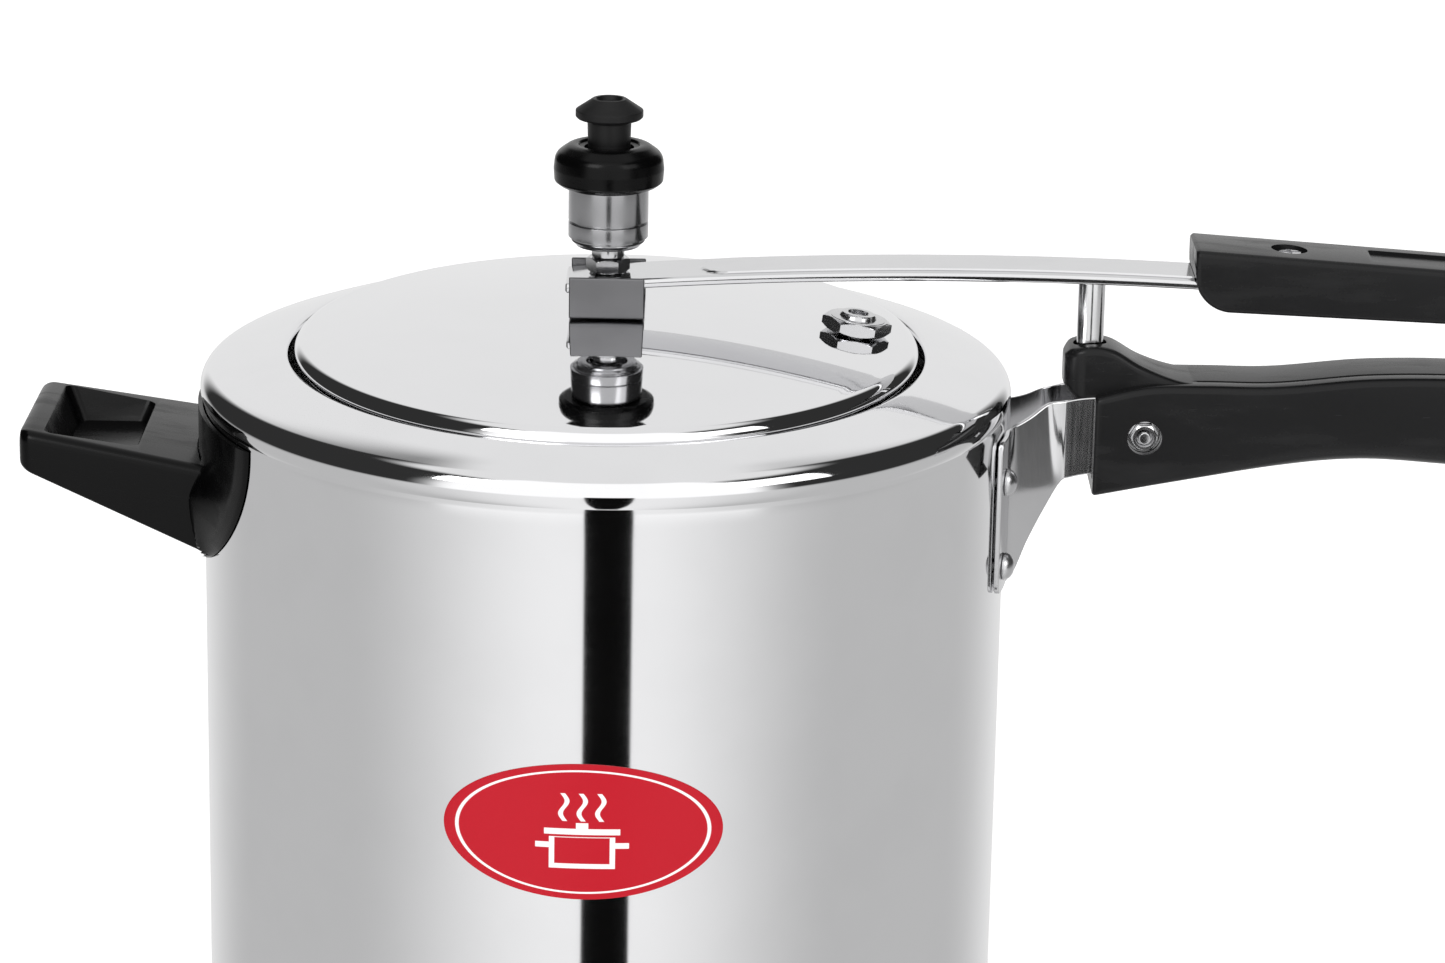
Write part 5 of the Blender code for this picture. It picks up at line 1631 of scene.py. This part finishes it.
# ---------------------------------------------------------------- pressings and rivets

@dataclass
class Pressing:
    """A folded steel sheet from the pot's wall to the lower handle, and its rivets.

    Attributes:
        side: -1 for the front one and 1 for the rear one.
        thick: the sheet's thickness.
        radius: radius of the sheet's middle on the wall.
        edge_y: where the flange ends along Y.
        root_y: where the leg leaves the wall.
        tongue_y: the tongue's place along Y.
        tongue: the tongue's ends along X.
        lean: how much the leg leans inwards over its height.
        rivet_y: the rivets' place along Y.
        rivet_z: their heights.
    """

    side: int
    thick: float = 1.5
    radius: float = WALL_R + 1.15
    edge_y: float = 33.0
    root_y: float = 19.0
    tongue_y: float = 9.6
    tongue: tuple[float, float] = (136.5, 170.0)
    lean: float = -0.12
    rivet_y: float = 26.0
    rivet_z: tuple[float, float] = (-31.0, -57.0)

    def plan(self) -> tuple[Array, Array]:
        """The sheet's middle line seen from above and its length along the line.

        The line follows the wall, bends out on a small radius, runs straight to the tongue and
        bends again to run along X.
        """
        flange_y = np.linspace(self.edge_y, self.root_y + 1.0, 5)
        flange = [(math.sqrt(self.radius ** 2 - y * y), y, 0.0) for y in flange_y]
        root_x = math.sqrt(self.radius ** 2 - self.root_y ** 2)
        corners = flange[:-1] + [(root_x, self.root_y, 1.8), (self.tongue[0], self.tongue_y, 3.0),
                                 (self.tongue[1], self.tongue_y, 0.0)]
        line = dense(fillet(corners, 7, closed=False), 1.0)
        run = np.concatenate([[0], np.cumsum(np.linalg.norm(np.diff(line, axis=0), axis=1))])
        return line, run

    def sheet(self, name: str) -> bpy.types.Object:
        """The folded sheet: a thin rounded section carried along the plan line.

        Top and bottom edges are smooth curves of the place along X, and above a soft fold the
        leg leans inwards in proportion to its height.
        """
        line, run = self.plan()
        direction = np.gradient(line, axis=0)
        direction /= np.linalg.norm(direction, axis=1, keepdims=True)
        across = np.column_stack([-direction[:, 1], direction[:, 0]])
        x = line[:, 0]
        corner = 3.0  # radius of the flange's outer corners
        round_end = corner * (1 - np.sqrt(1 - np.clip(1 - run / corner, 0, 1) ** 2))
        top = smooth_curve(x, (115, 121, 127, 133, 136.5, 172),
                           (-17.3, -17.2, -15.0, -11.6, -10.5, -10.5))
        bottom = smooth_curve(x, (115, 119.6, 121.5, 126, 131, 136.5, 139, 172),
                              (-64, -64, -62.5, -52.5, -43.0, -34.8, -34.0, -34.0))
        top, bottom = top - round_end, bottom + round_end
        up = np.linspace(0, 1, 28)
        share = np.concatenate([up, up[::-1]])
        half = np.repeat((-self.thick / 2, self.thick / 2), len(up))
        z = bottom[:, None] + (top - bottom)[:, None] * share
        dish = (ease(x, 118.5, 123.0) * (1 - ease(x, 133.0, 137.0)))[:, None]
        fold_z = -37.0  # the leg leans only above this height
        lean = self.lean * dish * np.maximum(z - fold_z, 0.0)
        point = line[:, None] + across[:, None] * (half + lean)[..., None]
        grid = np.stack([point[..., 0], self.side * point[..., 1], z + MOUTH], -1)
        made = skin(name, grid, caps=(True, True), sharp=50.0)
        soften(made, 0.35, 3)
        return made

    def wall_place(self, y: float, z: float) -> Matrix:
        """Turns Z to point out of the wall on the +X side at one place."""
        angle = math.asin(y / WALL_R)
        return (Matrix.Translation((0, 0, MOUTH + z)) @ Matrix.Rotation(angle, 4, "Z")
                @ Matrix.Rotation(math.pi / 2, 4, "Y"))

    def build(self) -> None:
        """Makes the sheet and its two rivets."""
        label = "front" if self.side < 0 else "rear"
        fit(self.sheet("pressing_" + label), Body.POT, Finish.SHEET,
            ["bracket_" + label])
        for z, level in zip(self.rivet_z, ("upper", "lower")):
            place = self.wall_place(self.side * self.rivet_y, z)
            head = rivet(f"rivet_{label}_{level}", RIVET_SEAT, 4.1, 3.2, place)
            fit(head, Body.POT, Finish.RIVET, [f"bracket_rivet_{label}_{level}"])


def rivet(name: str, seat: float, head: float, rise: float, place: Matrix) -> bpy.types.Object:
    """A domed rivet with a flattened crown, its shank through the wall and its tail inside.

    Args:
        name: its name.
        seat: radius from the pot's axis at which the head sits.
        head: the head's radius.
        rise: its height.
        place: matrix whose Z points out of the wall.

    Returns:
        The rivet.
    """
    tail = WALL_R - 3.7  # where the tail sits inside the wall
    angle = np.radians(np.linspace(12, 78, 12))
    dome = np.column_stack([head * np.cos(angle), seat + rise * np.sin(angle)])
    low = fillet([(0, tail - 1.2, 0), (3.2, tail - 1.2, 0.6), (4.3, tail, 0.2), (2.1, tail, 0),
                  (2.1, seat, 0.1), (head, seat, 0.3), (head, seat + rise * 0.2, 0)], 4, closed=False)
    top = np.array([(0.0, seat + rise)])
    return lathe(name, np.concatenate([low, dome, top]), 48, place=place, sharp=40.0)


# ---------------------------------------------------------------- helper handle

@dataclass
class HelperHandle:
    """The short handle on the other side, its collar, bracket and fasteners.

    Attributes:
        ends: its tip and its root along X.
        half_w: half its width at both.
        top: its top's height at both.
        bottom: its underside's height at both.
        edge: radius of its upper edges.
        seat: radius of the hollow that faces the pot.
        window: the finger window's ends along X and its half-width.
        flare: how far the collar rises where the grip's sides meet it.
        tip: how far the rounding of the tip reaches.
        plate: the wall plate's inner radius, outer radius and half-width.
        screw_x: where its screw stands.
    """

    ends: tuple[float, float] = (-172.5, -116.0)
    half_w: tuple[float, float] = (28.6, 33.5)
    top: tuple[float, float] = (-19.8, -29.2)
    bottom: tuple[float, float] = (-31.6, -56.0)
    edge: float = 3.2
    seat: float = 122.0
    window: tuple[float, float, float] = (-161.0, -140.0, 21.5)
    flare: float = 5.5
    tip: float = 4.0
    plate: tuple[float, float, float] = (WALL_R + 0.32, WALL_R + 1.9, 13.5)
    screw_x: float = -129.0

    def between(self, x: Array, pair: tuple[float, float]) -> Array:
        """A value that runs straight from the tip to the root."""
        return pair[0] + (pair[1] - pair[0]) * (x - self.ends[0]) / (self.ends[1] - self.ends[0])

    def grip(self) -> bpy.types.Object:
        """The grip's skin: rounded box sections from the tip to inside the pot's hollow."""
        x0 = self.ends[0]
        tip = x0 + self.tip * (1 - np.cos(quarter(14)))
        x = np.concatenate([tip, np.linspace(x0 + self.tip, -104.0, 50)[1:]])
        inset = self.tip * (1 - np.sqrt(1 - np.clip(1 - (x - x0) / self.tip, 0, 1) ** 2))
        w = self.between(x, self.half_w) - inset
        top = self.between(x, self.top) + MOUTH - inset * 0.55
        bottom = self.between(x, self.bottom) + MOUTH + inset * 0.3
        big = np.full_like(x, self.edge)
        ring = rounded_section((-w, w), bottom, top, [big * 0.4, big * 0.4, big, big], 8)
        made = sections("helper_grip", x, ring)
        a, b, w = self.window
        window = block("finger_way", (a, b), (-w, w), (MOUTH - 80, MOUTH - 18), radius=2.5)
        room = ((a + 0.2, b - 0.2), (-w + 0.2, w - 0.2))
        relief = block("finger_relief", *room, (MOUTH - 27, MOUTH - 45), 5.0, 2.5)
        funnel = block("finger_funnel", *room, (MOUTH - 31.0, MOUTH - 18), 6.0, 3.0)
        hollow = drill("pot_hollow", self.seat, (MOUTH - 90, MOUTH), count=240)
        pocket = block("bracket_room", (-137.0, -100.0), (-15.0, 15.0), (MOUTH - 45, MOUTH - 31.5))
        carve(made, window, relief, funnel, hollow, pocket)
        soften(made, 0.9, 3)
        return made

    def collar(self) -> bpy.types.Object:
        """The collar: half an oval wrapped on the wall, swelling towards its middle.

        A point's height falls with the row; the half-angle at each height is the oval's, and the
        outer face swells smoothly away from the edge. Both faces and the edge form one skin.
        """
        rows = np.linspace(0, 1, 40)
        depth = np.sin(np.pi / 2 * rows)
        half = np.radians(33.3) * np.sqrt(np.clip(1 - (depth * 0.992) ** 2, 1e-4, 1))
        across = np.linspace(-1, 1, 121)
        angle = half[:, None] * across
        tall = 48.0
        z = np.broadcast_to((MOUTH - 14.1 - tall * depth)[:, None], angle.shape)
        rim = np.minimum(1 - across ** 2, 1.0)[None] * (1 - depth[:, None] ** 3)
        swell = 1.25 * np.clip(rim * 6, 0, 1) ** 0.5
        side = np.abs(angle) * WALL_R
        foot = self.between(np.array(self.ends[1]), self.half_w)
        room = np.maximum(half[:, None] * WALL_R - foot, 1.0)
        near = np.clip(1 - np.abs(side - foot - 1.0) / room, 0, 1) ** 2.2 * (side > foot - 6.0)
        down = depth[:, None]
        swell = swell + self.flare * near * (1 - down ** 4) * ease(down * tall, 12.0, 24.0)
        inner = WALL_R + 0.32
        faces = []
        for radius in (np.full_like(angle, inner), inner + 0.04 + swell):
            faces.append(np.stack([-radius * np.cos(angle), radius * np.sin(angle), z], -1))
        grid = np.concatenate([faces[0], faces[1][:, ::-1]], 1)
        made = skin("helper_collar_skin", grid, caps=(True, True), sharp=50.0)
        carve(made, block("collar_room", (-140.0, -100.0), (-15.0, 15.0), (MOUTH - 45, MOUTH - 31.5)))
        return made

    def bracket(self) -> bpy.types.Object:
        """The steel plate on the wall with its tongue in the grip's pocket."""
        inner, outer, half_w = self.plate
        half = half_w / (WALL_R + 1.1)
        angle = np.linspace(-half, half, 15)
        direction = np.column_stack([-np.cos(angle), np.sin(angle)])
        loop = np.concatenate([inner * direction, outer * direction[::-1]])
        rows = [np.column_stack([loop, np.full(len(loop), MOUTH + z)])
                for z in (-43.6, -43.3, -33.3, -33.0)]
        plate = skin("helper_plate", np.array(rows), caps=(True, True), sharp=40.0)
        tongue = block("helper_tongue_part", (-135.0, -120.9), (-7.0, 7.0),
                       (MOUTH - 43.55, MOUTH - 42.0), radius=0.5)
        carve(plate, tongue, operation="UNION")
        return plate

    def build(self) -> None:
        """Makes the grip, collar, bracket, rivets and screw."""
        # The grip and collar take the darker copy of the black phenolic; its lowered base colour is
        # painted shade.
        fit(self.grip(), Body.POT, Finish.GLOSSY, ["helper_handle"])
        fit(self.collar(), Body.POT, Finish.GLOSSY, ["helper_collar"])
        fit(self.bracket(), Body.POT, Finish.SHEET, ["helper_bracket"])
        for side, label in ((-1, "front"), (1, "rear")):
            angle = math.asin(side * 8.0 / WALL_R)
            place = (Matrix.Translation((0, 0, MOUTH - 37.3)) @ Matrix.Rotation(-angle, 4, "Z")
                     @ Matrix.Rotation(-math.pi / 2, 4, "Y"))
            fit(rivet("helper_rivet_head_" + label, RIVET_SEAT, 3.0, 2.0, place), Body.POT,
                Finish.RIVET, ["helper_rivet_" + label])
        head = float(self.between(np.array(self.screw_x), self.bottom)) + 3.2
        profile = fillet([(0, -40, 0), (1.6, -40, 0.3), (2.0, -41, 0.2), (2.0, head - 0.3, 0.1),
                          (3.6, head - 0.3, 0.2), (3.4, head - 1.6, 0.5), (2.4, head - 2.4, 0.5),
                          (0, head - 2.5, 0)], 5, closed=False)
        profile[:, 1] += MOUTH
        screw = lathe("helper_screw_head", profile, 40, place=Matrix.Translation((self.screw_x, 0, 0)))
        fit(screw, Body.POT, Finish.PLATED, ["helper_screw"])


# ---------------------------------------------------------------- studio

@dataclass(frozen=True)
class SoftBox:
    """A bright or dark patch of the studio, seen from the object.

    Attributes:
        azimuth: its middle in degrees; 0 is in front (-Y) and +90 is to the right (+X).
        height: its middle's elevation in degrees.
        half: half its size in azimuth and in elevation.
        soft: width of its edges in degrees.
        level: its brightness.
    """

    azimuth: float
    height: float
    half: tuple[float, float]
    soft: tuple[float, float]
    level: float


@dataclass
class Studio:
    """Camera, lights, floor and surroundings.

    Attributes:
        focal: focal length in widths of the image.
        tilt: the camera's downward tilt in degrees.
        roll: its roll in degrees.
        shift: the mouth's centre in the camera's frame, in millimetres.
        tent: brightness of the surroundings.
        boxes: the patches laid over it, in order.
    """

    focal: float = 4809.1 / 1445
    tilt: float = 16.94
    roll: float = 1.04
    shift: tuple[float, float, float] = (-35.2, 38.6, 1436.1)
    tent: float = 0.84
    boxes: tuple[SoftBox, ...] = (
        SoftBox(100.0, 26.0, (52.0, 34.0), (14.0, 10.0), 0.03),
        SoftBox(-100.0, 26.0, (52.0, 34.0), (14.0, 10.0), 0.03),
        SoftBox(0.0, 30.0, (44.0, 40.0), (10.0, 8.0), 1.15),
        SoftBox(2.45, -40.0, (6.7, 34.0), (0.6, 2.0), 0.004),
    )

    def camera(self) -> None:
        """Sets the camera from its fitted tilt, roll and distance."""
        phi, rho = math.radians(self.tilt), math.radians(self.roll)
        right = Vector((1, 0, 0))
        up = Vector((0, math.sin(phi), math.cos(phi)))
        ahead = Vector((0, math.cos(phi), -math.sin(phi)))
        x, y, z = self.shift
        eye = (Vector((0, 0, MOUTH)) - right * x - up * y - ahead * z) * MM
        turned_right = right * math.cos(rho) + up * math.sin(rho)
        turned_up = up * math.cos(rho) - right * math.sin(rho)
        data = bpy.data.cameras.new("camera")
        data.sensor_width = 36.0
        data.lens = 36.0 * self.focal
        data.clip_start, data.clip_end = 0.05, 60.0
        made = bpy.data.objects.new("camera", data)
        basis = Matrix((turned_right, turned_up, -ahead)).transposed().to_4x4()
        made.matrix_world = Matrix.Translation(eye) @ basis
        bpy.context.scene.collection.objects.link(made)
        bpy.context.scene.camera = made

    def surroundings(self) -> None:
        """A white tent with dark and bright patches, given by direction."""
        world = bpy.data.worlds.new("studio")
        bpy.context.scene.world = world
        graph = Graph(world)
        x, y, z = graph.split(graph.node("ShaderNodeTexCoord", out="Generated"))
        degrees = 180 / math.pi
        azimuth = graph.node("ShaderNodeMath", {"operation": "ARCTAN2"}, {0: x, 1: y * -1.0}) * degrees
        height = graph.node("ShaderNodeMath", {"operation": "ARCSINE"}, {0: z}) * degrees
        floor = 0.95 - abs(azimuth + 1.4).step(8.0, 75.0) * 0.42 + abs(azimuth).step(120.0, 165.0) * 0.25
        level = height.step(-12.0, -6.0) * (self.tent - floor) + floor
        for box in self.boxes:
            mask = (azimuth.within(box.azimuth, box.half[0], box.soft[0])
                    * height.within(box.height, box.half[1], box.soft[1]))
            level = level + (box.level - level) * mask
        shader = graph.node("ShaderNodeBackground",
                            inputs={"Color": graph.join(level, level, level), "Strength": 1.0})
        graph.node_output("ShaderNodeOutputWorld", shader)

    def floor(self) -> None:
        """A pale floor disc that mirrors don't see, bright enough to read as white."""
        under, reach = -0.5, 9000.0
        made = lathe("studio_floor", np.array([(0.0, under), (reach, under)]), 64)
        material = bpy.data.materials.new("pale_floor")
        graph = Graph(material)
        grain = graph.noise(graph.place(), 0.02, 3.0)
        colour = graph.mix(grain * 0.2, (0.9, 0.9, 0.9), (0.87, 0.87, 0.87))
        graph.surface(Base_Color=colour, Roughness=0.9, Emission_Color=(1.0, 1.0, 1.0, 1.0),
                      Emission_Strength=0.62)
        made.data.materials.append(material)
        made.visible_glossy = False

    def lamps(self) -> None:
        """Two large soft lamps over the front, for the black parts and the floor."""
        middle = Vector((0, 0, 0.2))
        for name, place, size, power in (("key", (-0.9, -1.3, 1.5), 0.9, 9.0),
                                         ("fill", (1.2, -1.0, 1.2), 1.0, 5.0)):
            data = bpy.data.lights.new(name, "AREA")
            data.size = size
            data.energy = power
            made = bpy.data.objects.new(name, data)
            made.location = place
            made.rotation_euler = (middle - Vector(place)).to_track_quat("-Z", "Y").to_euler()
            bpy.context.scene.collection.objects.link(made)

    def build(self) -> None:
        """Makes the whole studio."""
        self.camera()
        self.surroundings()
        self.floor()
        self.lamps()
        bpy.context.scene.view_settings.view_transform = "Standard"


def main() -> None:
    """Builds the studio and every sub-assembly in order."""
    logging.basicConfig(level=logging.INFO, format="%(message)s")
    Studio().build()
    pot = Pot()
    pot.build()
    Sticker().build()
    Lid(pot).build()
    Weight().build()
    Bar().build()
    LowerHandle().build()
    Loop().build()
    for side in (-1, 1):
        Pressing(side).build()
    HelperHandle().build()


if __name__ == "__main__":
    main()
